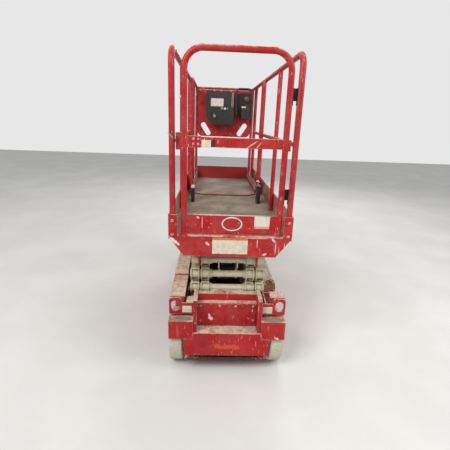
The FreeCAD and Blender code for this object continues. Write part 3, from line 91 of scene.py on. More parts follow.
class Shader:
    """One material and the nodes that work out its finish."""

    def __init__(self, name):
        self.material = bpy.data.materials.new(name)
        self.material.use_nodes = True
        self.tree = self.material.node_tree
        self.tree.nodes.clear()
        self.object_coords = self.node("TexCoord", output="Object")
        self.normal = self.node("TexCoord", output="Normal")
        self.upwards = self.part(self.normal, "Z")

    def node(self, kind, settings=None, *inputs, output=0, **named):
        """A node of that kind: its settings first, then its sockets, in order or by name."""
        item = self.tree.nodes.new("ShaderNode" + kind)
        for key, setting in (settings or {}).items():
            setattr(item, key, setting)
        for key, given in [*enumerate(inputs), *named.items()]:
            if given is None:
                continue
            socket = item.inputs[key.replace("_", " ") if isinstance(key, str) else key]
            if isinstance(given, Value):
                self.tree.links.new(given.socket, socket)
            else:
                socket.default_value = given
        return Value(self, item.outputs[output])

    def part(self, vector, axis):
        return self.node("SeparateXYZ", None, vector, output=axis)

    def place(self, axis):
        """The place on the piece along one axis, in metres."""
        return self.part(self.object_coords, axis)

    def stretched(self, x, y, z):
        """Object coordinates, drawn out along the axes."""
        return self.node("Mapping", None, self.object_coords, Scale=(x, y, z))

    def noise(self, scale, detail=3.0, roughness=0.55, vector=None):
        return self.node("TexNoise", None, Vector=vector or self.object_coords,
                         Scale=scale, Detail=detail, Roughness=roughness)

    def mix(self, factor, a, b):
        """Colour a where the factor is 0 and colour b where it is 1."""
        item = self.tree.nodes.new("ShaderNodeMix")
        item.data_type = "RGBA"
        for index, given in ((0, factor), (6, a), (7, b)):
            if isinstance(given, Value):
                self.tree.links.new(given.socket, item.inputs[index])
            else:
                item.inputs[index].default_value = given
        return Value(self, item.outputs[2])

    def rounded(self, radius):
        return self.node("Bevel", {"samples": 4}, Radius=radius)

    def edge(self, radius):
        """Near 1 along outer edges and 0 on open faces."""
        soft = self.rounded(radius)
        flat = self.node("NewGeometry", output="True Normal")
        along = self.node("VectorMath", {"operation": "DOT_PRODUCT"}, soft, flat, output="Value")
        return (1 - along).above(0.02, 0.16)

    def patch(self, centre, reach, slant=0.0, ragged=0.9):
        """1 in a ragged patch around a place, turned by a slant in degrees about Y, and 0 beyond it."""
        near = self.node("Mapping", {"vector_type": "TEXTURE"}, self.object_coords, Location=centre,
                         Rotation=(0.0, math.radians(slant), 0.0), Scale=reach)
        far_off = self.node("VectorMath", {"operation": "LENGTH"}, near, output="Value")
        return (far_off + (self.noise(55.0, 4.0, 0.7) - 0.5) * (2 * ragged)).below(0.75, 0.95)

    def finish(self, colour, roughness, metallic=0.0, height=None, depth=0.001, radius=0.002, **constants):
        normal = self.rounded(radius) if radius else None
        if height is not None:
            normal = self.node("Bump", None, Strength=1.0, Distance=depth, Height=height, Normal=normal)
        item = self.tree.nodes.new("ShaderNodeBsdfPrincipled")
        for key, given in {"Base Color": colour, "Roughness": roughness, "Metallic": metallic,
                           "Normal": normal, **constants}.items():
            if isinstance(given, Value):
                self.tree.links.new(given.socket, item.inputs[key])
            elif given is not None:
                item.inputs[key].default_value = given
        output = self.tree.nodes.new("ShaderNodeOutputMaterial")
        self.tree.links.new(item.outputs[0], output.inputs["Surface"])
        return self.material


def srgb(red, green, blue):
    """A colour as it shows on a screen, 0 to 255, in the linear values that shaders use."""
    def linear(level):
        level /= 255
        return level / 12.92 if level <= 0.04045 else ((level + 0.055) / 1.055) ** 2.4
    return (linear(red), linear(green), linear(blue), 1.0)


DUST = srgb(196, 178, 154)
PALE_DUST = srgb(214, 200, 182)
CHIP = srgb(216, 196, 188)
RUST = srgb(110, 62, 40)
# Dark maroon, for grime and for painted shade.
GRIME_AND_SHADE = srgb(84, 18, 18)
GRIT = srgb(168, 146, 122)
DARK = srgb(40, 30, 28)
BROWN = srgb(126, 96, 80)
OLIVE = srgb(138, 108, 76)
FADED_ORANGE = srgb(196, 96, 44)

STEP_DUST = srgb(208, 190, 168)

# Marks on the red paint, some of them painted shade: place, reach, slant in degrees, colour, share.
PAINT_MARKS_AND_SHADE = (
    ((-0.368, -1.156, 0.972), (0.052, 0.03, 0.012), 41.0, CHIP, 0.95),
    ((0.230, -1.156, 0.889), (0.018, 0.02, 0.008), -25.0, CHIP, 0.95),
    ((0.184, -1.157, 1.002), (0.100, 0.02, 0.005), 0.0, PALE_DUST, 0.55),
    ((0.285, -1.157, 0.989), (0.026, 0.02, 0.007), 50.0, PALE_DUST, 0.8),
    ((0.301, -1.157, 0.936), (0.004, 0.02, 0.050), 0.0, PALE_DUST, 0.75),
    ((0.178, -1.157, 0.960), (0.004, 0.02, 0.040), 0.0, PALE_DUST, 0.6),
    ((-0.116, -1.120, 0.376), (0.022, 0.02, 0.014), 25.0, CHIP, 0.95),
    ((-0.124, -1.120, 0.396), (0.009, 0.02, 0.022), -15.0, CHIP, 0.95),
    ((-0.330, -1.190, 0.411), (0.100, 0.040, 0.006), 0.0, BROWN, 0.75),
    ((0.330, -1.190, 0.411), (0.100, 0.040, 0.006), 0.0, BROWN, 0.75),
    ((-0.187, -1.134, 1.090), (0.003, 0.02, 0.048), 0.0, CHIP, 0.6),
    ((-0.150, -1.156, 0.957), (0.020, 0.02, 0.009), 45.0, CHIP, 0.9),
    ((-0.215, -1.134, 1.128), (0.012, 0.02, 0.007), 30.0, CHIP, 0.8),
    ((0.0, -1.1357, 1.147), (0.300, 0.02, 0.004), 0.0, CHIP, 0.75),
    ((-0.058, -1.220, 0.214), (0.036, 0.02, 0.022), 20.0, FADED_ORANGE, 0.60),
    ((0.004, -1.220, 0.210), (0.032, 0.02, 0.024), -18.0, FADED_ORANGE, 0.60),
    ((0.062, -1.220, 0.208), (0.036, 0.02, 0.022), 12.0, FADED_ORANGE, 0.60),
    # A near-black band across the foot of the entry end.
    ((0.0, -1.205, 0.100), (0.400, 0.06, 0.020), 0.0, DARK, 0.9),
    ((-0.349, -0.785, 0.583), (0.090, 0.008, 0.022), 0.0, STEP_DUST, 0.9),
    ((0.349, -0.785, 0.465), (0.090, 0.008, 0.030), 0.0, OLIVE, 0.75),
    ((0.110, -1.143, 1.600), (0.050, 0.02, 0.004), -35.0, CHIP, 0.7),
    ((0.150, -1.143, 1.595), (0.030, 0.02, 0.003), -50.0, CHIP, 0.7),
    ((0.190, -1.120, 0.470), (0.030, 0.02, 0.010), 20.0, GRIME_AND_SHADE, 0.7),
    # Painted shade and grime: the latch block between the posts is darkened to dark maroon.
    ((-0.353, -1.147, 1.606), (0.020, 0.02, 0.045), 0.0, GRIME_AND_SHADE, 0.75),
    ((0.350, -1.220, 0.285), (0.020, 0.02, 0.008), 15.0, CHIP, 0.8),
)


SCRATCH_SLANT = (0.5, 0.8, 0.3)
SCRATCH_SCALE = (110.0, 110.0, 14.0)
AXLE_HEIGHT = 0.190
ROD_EYE_END = -0.835
TREAD_BLOCKS = 44
AXLES = {"near": -1.015, "far": 0.930}


# Finishes

def worn_paint(name, fresh, faded, dust, dusty=1.0, chips=1.0, edge_colour=CHIP, marks=(), haze=0.05):
    """Sprayed paint, faded in patches, chipped at its edges, with plaster dust on what faces up."""
    s = Shader(name)
    fade = s.noise(1.9, 4.0).above(0.42, 0.72)
    grime = s.noise(7.0, 5.0, 0.65, s.stretched(1.0, 1.0, 0.3)).above(0.50, 0.78)
    colour = s.mix(fade, fresh, faded)
    colour = s.mix(grime * 0.35, colour, GRIME_AND_SHADE)
    streaks = s.noise(26.0, 4.0, 0.6, s.stretched(1.0, 1.0, 0.07)).above(0.60, 0.82)
    colour = s.mix(streaks * 0.16 * dusty, colour, dust)
    cloud = s.noise(11.0, 5.0, 0.62)
    broken = s.noise(48.0, 5.0, 0.7)
    settled = (cloud * 0.6 + broken * 0.4).above(0.60 - 0.16 * dusty, 0.66 - 0.12 * dusty)
    film = s.upwards.above(0.3, 0.9) * settled
    veil = (cloud.above(0.34, 0.62) * haze).least(0.9)
    speckle = s.noise(120.0, 3.0).above(0.68, 0.73) * s.noise(4.0, 2.0).above(0.46, 0.60)
    pale = s.mix(s.noise(30.0, 4.0, 0.7).above(0.38, 0.66), dust, GRIT)
    colour = s.mix((film * 0.92 + veil + speckle * 0.6).least(0.94), colour, pale)
    worn = s.edge(0.004) * s.noise(52.0, 4.0, 0.7).above(0.44, 0.52)
    knocks = s.noise(40.0, 5.0, 0.75).above(0.640, 0.665) * s.noise(3.7, 2.0).above(0.47, 0.57)
    drawn = s.node("Mapping", None, s.object_coords, Rotation=SCRATCH_SLANT, Scale=SCRATCH_SCALE)
    scratches = s.noise(1.0, 3.0, 0.6, drawn).above(0.655, 0.68) * s.noise(2.6, 3.0).above(0.47, 0.57)
    bare = ((worn + knocks + scratches * 0.85) * chips).least(1.0)
    colour = s.mix(bare, colour, edge_colour)
    for place, reach, slant, shade, share in marks:
        mark = s.patch(place, reach, slant)
        colour = s.mix(mark * share, colour, shade)
        bare = bare.most(mark)
    rough = 0.40 + film * 0.45 + bare * 0.3 + fade * 0.1 + grime * 0.15
    height = s.noise(240.0, 2.0) * 0.15 + film * s.noise(120.0, 2.0) * 0.5 - bare * 0.9
    return s.finish(colour, rough.least(0.95), height=height, depth=0.0006, radius=0.0025,
                    **{"Specular IOR Level": 0.3})


def dusty_deck(name):
    """Bare deck sheet under a thick film of plaster dust, with scuffs and darker smears."""
    s = Shader(name)
    patches = s.noise(3.0, 5.0, 0.6).above(0.36, 0.66)
    colour = s.mix(patches, srgb(112, 98, 84), srgb(158, 142, 122))
    smears = s.noise(5.0, 5.0, 0.6, s.stretched(1.0, 0.25, 1.0)).above(0.56, 0.70)
    colour = s.mix(smears * 0.55, colour, srgb(74, 62, 54))
    grit = s.noise(95.0, 3.0).above(0.58, 0.72)
    colour = s.mix(grit * 0.5, colour, srgb(196, 184, 166))
    colour = s.mix((1 - s.upwards.above(0.2, 0.8)) * 0.95, colour, srgb(138, 16, 20))
    height = s.noise(60.0, 4.0) * 0.6 + grit * 0.6
    return s.finish(colour, 0.9 - smears * 0.2, height=height, depth=0.0012, radius=0.002)


def tyre_rubber(name, axle):
    """Non-marking rubber greyed by dust, with grooves across its tread and scuffed shoulders."""
    s = Shader(name)
    around = s.node("Math", {"operation": "ARCTAN2"}, s.place("Z") - AXLE_HEIGHT, s.place("Y") - axle)
    waves = s.node("Math", {"operation": "SINE"}, around * TREAD_BLOCKS + (s.place("X") * 70.0))
    tread = s.node("VectorMath", {"operation": "LENGTH"},
                   s.node("CombineXYZ", None, 0.0, s.place("Y") - axle, s.place("Z") - AXLE_HEIGHT),
                   output="Value").above(0.184, 0.188)
    groove = waves.above(0.55, 0.8) * tread
    cloud = s.noise(5.0, 4.0).above(0.3, 0.7)
    colour = s.mix(cloud, srgb(166, 160, 142), srgb(192, 186, 166))
    scuff = s.noise(22.0, 5.0, 0.7).above(0.58, 0.70)
    colour = s.mix(scuff * 0.5, colour, srgb(112, 104, 90))
    # Painted shade: the grooves across the tread are darkened a little.
    colour = s.mix(groove * 0.06, colour, srgb(96, 88, 76))
    worn = s.edge(0.006) * s.noise(30.0, 3.0).above(0.4, 0.6)
    colour = s.mix(worn * 0.5, colour, srgb(188, 180, 160))
    height = s.noise(90.0, 4.0) * 0.3 + scuff * 0.3 - groove * 0.2
    return s.finish(colour, 0.88 - scuff * 0.1, height=height, depth=0.0025, radius=0.003)


def moulded_plastic(name, base, dust_share):
    """Black moulded plastic with a fine grain, dusty on top and rubbed at its edges."""
    s = Shader(name)
    film = s.upwards.above(0.3, 0.9) * s.noise(16.0, 4.0).above(0.35, 0.65) * dust_share
    speckle = s.noise(80.0, 2.0).above(0.62, 0.72) * dust_share * 0.5
    colour = s.mix((film + speckle).least(0.9), base, DUST)
    rubbed = s.edge(0.003) * s.noise(40.0, 3.0).above(0.45, 0.62)
    colour = s.mix(rubbed * 0.5, colour, srgb(120, 112, 104))
    height = s.noise(420.0, 2.0) * 0.5
    return s.finish(colour, 0.5 + film * 0.4, height=height, depth=0.0005, radius=0.002)


def worked_steel(name, bright, rusty=0.4):
    """Bare steel, dulled, with rust in spots and oil marks."""
    s = Shader(name)
    spots = s.noise(26.0, 5.0, 0.7).above(0.56, 0.70) * rusty
    colour = s.mix(s.noise(8.0, 3.0), bright, srgb(96, 94, 90))
    colour = s.mix(spots, colour, RUST)
    colour = s.mix(s.upwards.above(0.4, 0.95) * s.noise(20.0, 3.0).above(0.4, 0.6) * 0.6, colour, DUST)
    height = s.noise(160.0, 3.0) * 0.5 + spots
    return s.finish(colour, 0.45 + spots * 0.4, metallic=0.85 - spots * 0.7, height=height, depth=0.0005)


def polished_rod(name):
    """Hard chrome with fine turning marks and an oil film."""
    s = Shader(name)
    marks = s.noise(140.0, 2.0, vector=s.stretched(0.2, 6.0, 0.2))
    smear = s.noise(12.0, 3.0).above(0.5, 0.75)
    colour = s.mix(smear * 0.5, srgb(214, 214, 218), srgb(150, 142, 128))
    eye = s.place("Y").below(ROD_EYE_END - 0.01, ROD_EYE_END)
    colour = s.mix(eye, colour, srgb(34, 31, 29))
    return s.finish(colour, (0.14 + smear * 0.3 + marks * 0.06 + eye * 0.5).least(0.8),
                    metallic=1 - eye * 0.9, height=marks, depth=0.0001, radius=0.0)


def plate_face(name, ground, stain, frayed=CHIP):
    """A blank printed plate, yellowed and scratched, with dust in its scratches."""
    s = Shader(name)
    blotch = s.noise(34.0, 4.0).above(0.42, 0.68)
    colour = s.mix(blotch * 0.7, ground, stain)
    scratch = s.noise(60.0, 4.0, 0.7, s.stretched(1.0, 1.0, 0.25)).above(0.64, 0.70)
    colour = s.mix(scratch * 0.8, colour, frayed)
    return s.finish(colour, 0.5 + blotch * 0.25, height=scratch, depth=0.0003, radius=0.001)


RED, FADED_RED = srgb(156, 6, 18), srgb(172, 20, 28)
CREAM, PALE_CREAM = srgb(186, 180, 150), srgb(206, 200, 174)
CREAM_CHIP = srgb(104, 84, 64)

FINISH = {
    "red_paint": worn_paint("worn_red_paint", RED, FADED_RED, PALE_DUST, marks=PAINT_MARKS_AND_SHADE),
    "arm_paint": worn_paint("cream_arm_paint", CREAM, PALE_CREAM, DUST, dusty=0.7, chips=0.6,
                            edge_colour=CREAM_CHIP),
    "deck_steel": dusty_deck("dusty_deck_sheet"),
    "rim_paint": worn_paint("pale_rim_paint", srgb(140, 135, 116), srgb(170, 163, 142), DUST,
                            dusty=0.5, chips=0.8, edge_colour=srgb(96, 84, 72)),
    "black_plastic": moulded_plastic("dusty_black_plastic", srgb(26, 24, 24), 0.30),
    "bare_steel": worked_steel("dull_steel", srgb(136, 134, 130)),
    "rod_chrome": polished_rod("hard_chrome"),
    "block_grey": moulded_plastic("grey_block_plastic", srgb(62, 63, 66), 0.5),
}
DUSTY_RED = worn_paint("dusty_red_steps", RED, FADED_RED, STEP_DUST, dusty=1.5, chips=0.75, marks=PAINT_MARKS_AND_SHADE,
                       haze=0.03)
DUSTY_COVER = worn_paint("dusty_tray_cover", srgb(150, 60, 56), srgb(176, 112, 98), STEP_DUST,
                         dusty=2.3, chips=0.5, marks=PAINT_MARKS_AND_SHADE)
DUSTY_BOARD = worn_paint("dusty_toe_board", srgb(146, 52, 48), srgb(162, 84, 76), srgb(184, 150, 134),
                         dusty=1.2, haze=0.75)
NODE_FINISH = {"entry_steps": DUSTY_RED, "corner_box_left": DUSTY_RED, "corner_box_right": DUSTY_RED,
               "tray_left": DUSTY_COVER, "tray_right": DUSTY_COVER, "toe_boards": DUSTY_BOARD}
for end, axle in AXLES.items():
    rubber = tyre_rubber(f"pale_tyre_{end}", axle)
    NODE_FINISH.update({f"tyre_{end}_{hand}": rubber for hand in SIDES})

for row in frame["record"]["subparts"]:
    mesh = NODES[row["node"]].data
    mesh.materials.clear()
    mesh.materials.append(NODE_FINISH.get(row["node"]) or FINISH[row["material_slot"]])

WHITE_RING = plate_face("white_plate_ring", srgb(206, 196, 184), srgb(176, 150, 132))
PLATE_RED = plate_face("red_plate_field", srgb(156, 22, 30), srgb(132, 18, 24))
PLATE_CREAM = plate_face("cream_plate", srgb(204, 196, 174), srgb(184, 170, 146), srgb(128, 96, 74))
PLATE_WHITE = plate_face("white_label", srgb(208, 200, 186), srgb(190, 170, 156))
# Faded pink print, and also the painted highlight strips on the console's edges.
PINK_PLATE_AND_HIGHLIGHT = plate_face("faded_pink_band_and_highlight", srgb(206, 150, 136), srgb(186, 120, 104))
PLATE_ORANGE = plate_face("faded_orange_band", srgb(190, 104, 56), srgb(170, 74, 40))
BRIGHT_STEEL = worked_steel("bright_bolt_steel", srgb(196, 192, 186), rusty=0.2)
RUSTY_LATCH = worn_paint("rusty_latch", srgb(128, 106, 66), srgb(104, 78, 48), OLIVE, chips=0.3,
                         edge_colour=RUST)
CHIPPED = worn_paint("chipped_bolt_paint", srgb(168, 92, 84), srgb(190, 140, 128), PALE_DUST, chips=2.0)
RED_PAINT = FINISH["red_paint"]
BLACK = FINISH["black_plastic"]
KNOB = moulded_plastic("rubbed_pink_knob", srgb(120, 62, 58), 0.6)


# Solid pieces

class Form:
    """A mesh put together from plain solids, in metres."""

    def __init__(self):
        self.mesh = bmesh.new()

    def box(self, low, high):
        low, high = Vector(low), Vector(high)
        place = Matrix.Translation((low + high) / 2) @ Matrix.Diagonal((*(high - low), 1.0))
        bmesh.ops.create_cube(self.mesh, size=1.0, matrix=place)
        return self

    def rod(self, foot, tip, radius, sides=24, tip_radius=None):
        foot, tip = Vector(foot), Vector(tip)
        along = tip - foot
        place = Matrix.Translation((foot + tip) / 2) @ along.to_track_quat("Z", "Y").to_matrix().to_4x4()
        bmesh.ops.create_cone(self.mesh, cap_ends=True, segments=sides, radius1=radius,
                              radius2=radius if tip_radius is None else tip_radius,
                              depth=along.length, matrix=place)
        return self

    def sleeve(self, foot, height, radius, bore, sides=28):
        """An upright ring with a bore."""
        x, y, low = foot
        turns = [math.tau * step / sides for step in range(sides)]
        rings = [[self.mesh.verts.new((x + reach * math.cos(turn), y + reach * math.sin(turn), z))
                  for turn in turns]
                 for reach, z in ((radius, low), (radius, low + height), (bore, low + height), (bore, low))]
        for first, second in zip(rings, rings[1:] + rings[:1]):
            for step in range(sides):
                following = (step + 1) % sides
                self.mesh.faces.new((first[step], first[following], second[following], second[step]))
        return self

    def ball(self, centre, radius):
        bmesh.ops.create_uvsphere(self.mesh, u_segments=20, v_segments=12, radius=radius,
                                  matrix=Matrix.Translation(centre))
        return self

    def disc(self, centre, reach_x, reach_z, thickness, sides=64):
        """An oval plate that faces the entry, its back on the place given."""
        x, y, z = centre
        place = (Matrix.Translation((x, y - thickness / 2, z)) @ Matrix.Diagonal((reach_x, 1.0, reach_z, 1.0))
                 @ Matrix.Rotation(math.pi / 2, 4, "X"))
        bmesh.ops.create_cone(self.mesh, cap_ends=True, segments=sides, radius1=1.0, radius2=1.0,
                              depth=thickness, matrix=place)
        return self

    def tube(self, path, radius, sides=12):
        """A round tube along a line of points, with closed ends."""
        path = [Vector(point) for point in path]
        rings = []
        side = None
        for index, point in enumerate(path):
            before, after = path[max(index - 1, 0)], path[min(index + 1, len(path) - 1)]
            along = (after - before).normalized()
            side = side or along.orthogonal()
            side = (side - along * side.dot(along)).normalized()
            up = along.cross(side)
            turns = [math.tau * step / sides for step in range(sides)]
            rings.append([self.mesh.verts.new(point + (side * math.cos(turn) + up * math.sin(turn)) * radius)
                          for turn in turns])
        for first, second in zip(rings, rings[1:]):
            for step in range(sides):
                following = (step + 1) % sides
                self.mesh.faces.new((first[step], first[following], second[following], second[step]))
        self.mesh.faces.new(list(reversed(rings[0])))
        self.mesh.faces.new(rings[-1])
        return self

    def done(self, name, body, slot, material, smooth=True):
        bmesh.ops.recalc_face_normals(self.mesh, faces=self.mesh.faces)
        mesh = bpy.data.meshes.new(name)
        self.mesh.to_mesh(mesh)
        self.mesh.free()
        mesh.materials.append(material)
        item = bpy.data.objects.new(name, mesh)
        bpy.context.scene.collection.objects.link(item)
        if smooth:
            mesh.shade_smooth()
            mesh.set_sharp_from_angle(angle=math.radians(35))
        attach(item, body)
        return item


def arc(centre, radius, start, end, steps=8, axis_y=0.0):
    """Points on an arc that faces the entry, in degrees from +X towards +Z."""
    x, z = centre
    return [(x + radius * math.cos(math.radians(start + (end - start) * step / steps)), axis_y,
             z + radius * math.sin(math.radians(start + (end - start) * step / steps)))
            for step in range(steps + 1)]


# Bolts, repeated by geometry nodes

def bolt_tree():
    """Hexagon heads on washers, one at each vertex, each turned by chance about its own axis."""
    tree = bpy.data.node_groups.new("hexagon_bolts", "GeometryNodeTree")
    face = tree.interface
    sockets = {"Geometry": "NodeSocketGeometry", "Across": "NodeSocketFloat", "Height": "NodeSocketFloat",
               "Facing": "NodeSocketVector", "Seed": "NodeSocketInt", "Material": "NodeSocketMaterial"}
    keys = {name: face.new_socket(name, in_out="INPUT", socket_type=kind).identifier
            for name, kind in sockets.items()}
    face.new_socket("Geometry", in_out="OUTPUT", socket_type="NodeSocketGeometry")

    def node(kind, **settings):
        item = tree.nodes.new(kind)
        for key, setting in settings.items():
            setattr(item, key, setting)
        return item

    def link(source, item, name):
        tree.links.new(source, item.inputs[name])

    given = node("NodeGroupInput")
    head = node("GeometryNodeMeshCylinder")
    head.inputs["Vertices"].default_value = 6
    washer = node("GeometryNodeMeshCylinder")
    washer.inputs["Vertices"].default_value = 20
    wide = node("ShaderNodeMath", operation="MULTIPLY")
    wide.inputs[1].default_value = WASHER_SHARE
    thin = node("ShaderNodeMath", operation="MULTIPLY")
    thin.inputs[1].default_value = WASHER_HEIGHT
    link(given.outputs["Across"], head, "Radius")
    link(given.outputs["Height"], head, "Depth")
    tree.links.new(given.outputs["Across"], wide.inputs[0])
    tree.links.new(given.outputs["Height"], thin.inputs[0])
    link(wide.outputs[0], washer, "Radius")
    link(thin.outputs[0], washer, "Depth")
    half = node("ShaderNodeMath", operation="MULTIPLY")
    half.inputs[1].default_value = 0.5
    tree.links.new(given.outputs["Height"], half.inputs[0])
    lift = node("ShaderNodeCombineXYZ")
    tree.links.new(half.outputs[0], lift.inputs["Z"])
    raised = node("GeometryNodeTransform")
    link(head.outputs["Mesh"], raised, "Geometry")
    link(lift.outputs[0], raised, "Translation")
    both = node("GeometryNodeJoinGeometry")
    link(raised.outputs[0], both, "Geometry")
    link(washer.outputs["Mesh"], both, "Geometry")
    chance = node("FunctionNodeRandomValue", data_type="FLOAT")
    chance.inputs[3].default_value = math.tau
    link(given.outputs["Seed"], chance, "Seed")
    spin = node("ShaderNodeCombineXYZ")
    tree.links.new(chance.outputs[1], spin.inputs["Z"])
    facing = node("FunctionNodeEulerToRotation")
    tree.links.new(given.outputs["Facing"], facing.inputs[0])
    about = node("FunctionNodeEulerToRotation")
    tree.links.new(spin.outputs[0], about.inputs[0])
    turned = node("FunctionNodeRotateRotation", rotation_space="LOCAL")
    tree.links.new(facing.outputs[0], turned.inputs[0])
    tree.links.new(about.outputs[0], turned.inputs[1])
    spread = node("GeometryNodeInstanceOnPoints")
    link(given.outputs["Geometry"], spread, "Points")
    link(both.outputs[0], spread, "Instance")
    link(turned.outputs[0], spread, "Rotation")
    real = node("GeometryNodeRealizeInstances")
    link(spread.outputs[0], real, "Geometry")
    painted = node("GeometryNodeSetMaterial")
    link(real.outputs[0], painted, "Geometry")
    link(given.outputs["Material"], painted, "Material")
    out = node("NodeGroupOutput")
    tree.links.new(painted.outputs[0], out.inputs[0])
    return tree, keys


WASHER_SHARE = 1.5
WASHER_HEIGHT = 0.35
FACINGS = {"-y": (math.pi / 2, 0.0, 0.0), "-x": (0.0, -math.pi / 2, 0.0), "+x": (0.0, math.pi / 2, 0.0)}
BOLT_TREE, BOLT_KEYS = bolt_tree()


def bolts(name, body, places, facing, across, height, material=BRIGHT_STEEL, seed=3):
    """One mesh of bolt heads that stand on the places given."""
    points = bpy.data.meshes.new(name + "_places")
    points.from_pydata(places, [], [])
    item = bpy.data.objects.new(name, points)
    bpy.context.scene.collection.objects.link(item)
    maker = item.modifiers.new("bolts", "NODES")
    maker.node_group = BOLT_TREE
    for key, setting in {"Across": across, "Height": height, "Facing": FACINGS[facing], "Seed": seed,
                         "Material": material}.items():
        maker[BOLT_KEYS[key]] = setting
    solid = bpy.data.meshes.new_from_object(item.evaluated_get(bpy.context.evaluated_depsgraph_get()))
    item.modifiers.remove(maker)
    item.data = solid
    bpy.data.meshes.remove(points)
    solid.name = name
    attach(item, body)
    return item


# Places of the faces that the details stand on, in metres.
END_FRAME_Y = -1.156
GATE_PANEL_Y = -1.1332
GATE_BAR_Y = -1.1427
BAR_MIDDLE_Y = -1.1307
HINGE_LINE = (0.351, -1.1137)
HINGE_HEIGHTS = {"lower": 1.290, "upper": 1.895}
HALF_BARREL = 0.0228
STILE_EDGE = 0.3350
POST_EDGE = 0.3607
NEAR_PIN_Y = -0.980
ROW_BASE_Z = 0.334
ROW_RISE = 0.110
PLATFORM_PIN_Z = 0.774
COLLAR_RADIUS = 0.031
WHEEL_DISC_X = 0.375
NUT_CIRCLE = 0.075
NUTS = 5
SHIELD_Y = -1.163
BOLTED_PANEL_Y = -1.120
CONSOLE_Y = 0.996
PLATE = 0.0015


def gate_details():
    ring = Form().disc((0.007, GATE_PANEL_Y, 1.089), 0.068, 0.048, 0.002)
    ring.done("oval_plate_ring", "gate", "arm_paint", WHITE_RING)
    field = Form().disc((0.007, GATE_PANEL_Y - 0.002, 1.089), 0.059, 0.039, 0.001)
    field.done("oval_plate_field", "gate", "red_paint", PLATE_RED)
    label = Form().box((0.153, GATE_PANEL_Y - PLATE, 1.076), (0.253, GATE_PANEL_Y, 1.143))
    label.done("gate_label", "gate", "arm_paint", PLATE_WHITE)
    band = Form().box((0.153, GATE_PANEL_Y - PLATE, 1.060), (0.253, GATE_PANEL_Y, 1.076))
    band.done("gate_label_band", "gate", "red_paint", PINK_PLATE_AND_HIGHLIGHT)
    sleeve = Form().box((-0.288, BAR_MIDDLE_Y - 0.017, 1.571), (-0.204, BAR_MIDDLE_Y + 0.017, 1.639))
    sleeve.box((-0.356, BAR_MIDDLE_Y - 0.016, 1.640), (-0.316, BAR_MIDDLE_Y + 0.016, 1.657))
    sleeve.done("latch_sleeve", "gate", "red_paint", RED_PAINT)
    bolts("sleeve_bolts", "gate", [(x, BAR_MIDDLE_Y - 0.017, z) for x in (-0.248, -0.219)
                                   for z in (1.592, 1.622)], "-y", 0.005, 0.005, CHIPPED)
    patch = Form().box((-0.200, GATE_BAR_Y - PLATE, 1.576), (-0.142, GATE_BAR_Y, 1.618))
    patch.done("bar_patch", "gate", "arm_paint", PLATE_CREAM)
    # Painted shade: a thin black plate on the bar stands in for the dark inside of a slot.
    slot = Form().box((-0.141, GATE_BAR_Y - 0.003, 1.582), (-0.119, GATE_BAR_Y, 1.618))
    slot.done("bar_slot_painted_shade", "gate", "black_plastic", BLACK)
    keeper = Form().box((0.318, BAR_MIDDLE_Y - 0.016, 1.566), (0.346, BAR_MIDDLE_Y - 0.004, 1.634))
    keeper.done("bar_end_plate", "gate", "red_paint", RED_PAINT)
    pin = Form().rod((-0.399, -1.153, 1.653), (-0.369, -1.153, 1.621), 0.004, 14)
    pin.rod((-0.386, -1.153, 1.639), (-0.386, -1.140, 1.639), 0.004, 14)
    pin.done("latch_pin", "platform", "bare_steel", BRIGHT_STEEL)


def hinge_details():
    """Black paint on the gate's halves of its hinges, and a leaf on each side of them."""
    x, y = HINGE_LINE
    stile, post = STILE_EDGE, POST_EDGE
    near, far = y - 0.027, y - 0.007
    for place, middle in HINGE_HEIGHTS.items():
        low, high = middle - HALF_BARREL, middle + HALF_BARREL
        foot, top = middle - 0.062, middle + 0.037
        form = Form().sleeve((x, y, low), 2 * HALF_BARREL, 0.0096, 0.0086)
        form.box((stile - 0.008, y - 0.0056, low), (x - 0.0065, y + 0.0096, high))
        form.box((stile - 0.003, near, foot), (stile + 0.002, far, top))
        form.done(f"{place}_hinge_leaf_of_gate", "gate", "black_plastic", BLACK)
        form = Form().box((post - 0.0022, near, foot), (post + 0.003, far, top))
        form.done(f"{place}_hinge_leaf_of_post", "platform", "black_plastic", BLACK)


def end_frame_details():
    plate = Form().box((-0.118, END_FRAME_Y - PLATE, 0.888), (0.115, END_FRAME_Y, 0.984))
    plate.done("wide_plate", "platform", "arm_paint", PLATE_CREAM)
    header = Form().box((-0.118, END_FRAME_Y - PLATE, 0.984), (0.115, END_FRAME_Y, 1.000))
    header.done("wide_plate_header", "platform", "red_paint", PLATE_ORANGE)
    places = [(side * 0.380, END_FRAME_Y, z) for side in SIDES.values() for z in (1.016, 1.108)]
    bolts("end_frame_bolts", "platform", places, "-y", 0.007, 0.006, CHIPPED, seed=5)


def entry_details():
    places = [(x, BOLTED_PANEL_Y, z) for x, z in ((-0.188, 0.476), (-0.053, 0.476), (0.184, 0.476),
                                                  (0.188, 0.362), (-0.189, 0.358), (0.060, 0.476))]
    bolts("panel_bolts", "chassis", places, "-y", 0.006, 0.005, CHIPPED, seed=7)
    for hand, side in SIDES.items():
        low, high = sorted((side * 0.248, side * 0.314))
        decal = Form().box((low, SHIELD_Y - PLATE, 0.449), (high, SHIELD_Y, 0.500))
        decal.done(f"shield_plate_{hand}", "chassis", "arm_paint", PLATE_CREAM)
    block = Form().box((-0.286, SHIELD_Y + 0.008, 0.505), (-0.240, SHIELD_Y + 0.070, 0.536))
    block.done("left_stop_block", "chassis", "arm_paint", PLATE_CREAM)


def arm_details():
    """Collars on the tubes between the inner arms, and lugs on the uppermost one."""
    for level in LEVELS:
        z = ROW_BASE_Z + level * ROW_RISE
        form = Form()
        for side in SIDES.values():
            form.rod((side * 0.1315, NEAR_PIN_Y, z), (side * 0.114, NEAR_PIN_Y, z), COLLAR_RADIUS, 28)
        if level == LEVELS[-1]:
            for side in SIDES.values():
                x = side * 0.067
                form.box((x - 0.004, -1.012, z - 0.052), (x + 0.004, -0.950, z - 0.010))
        form.done(f"tube_collars_{level}", f"inner_arms_{level}", "arm_paint", FINISH["arm_paint"])


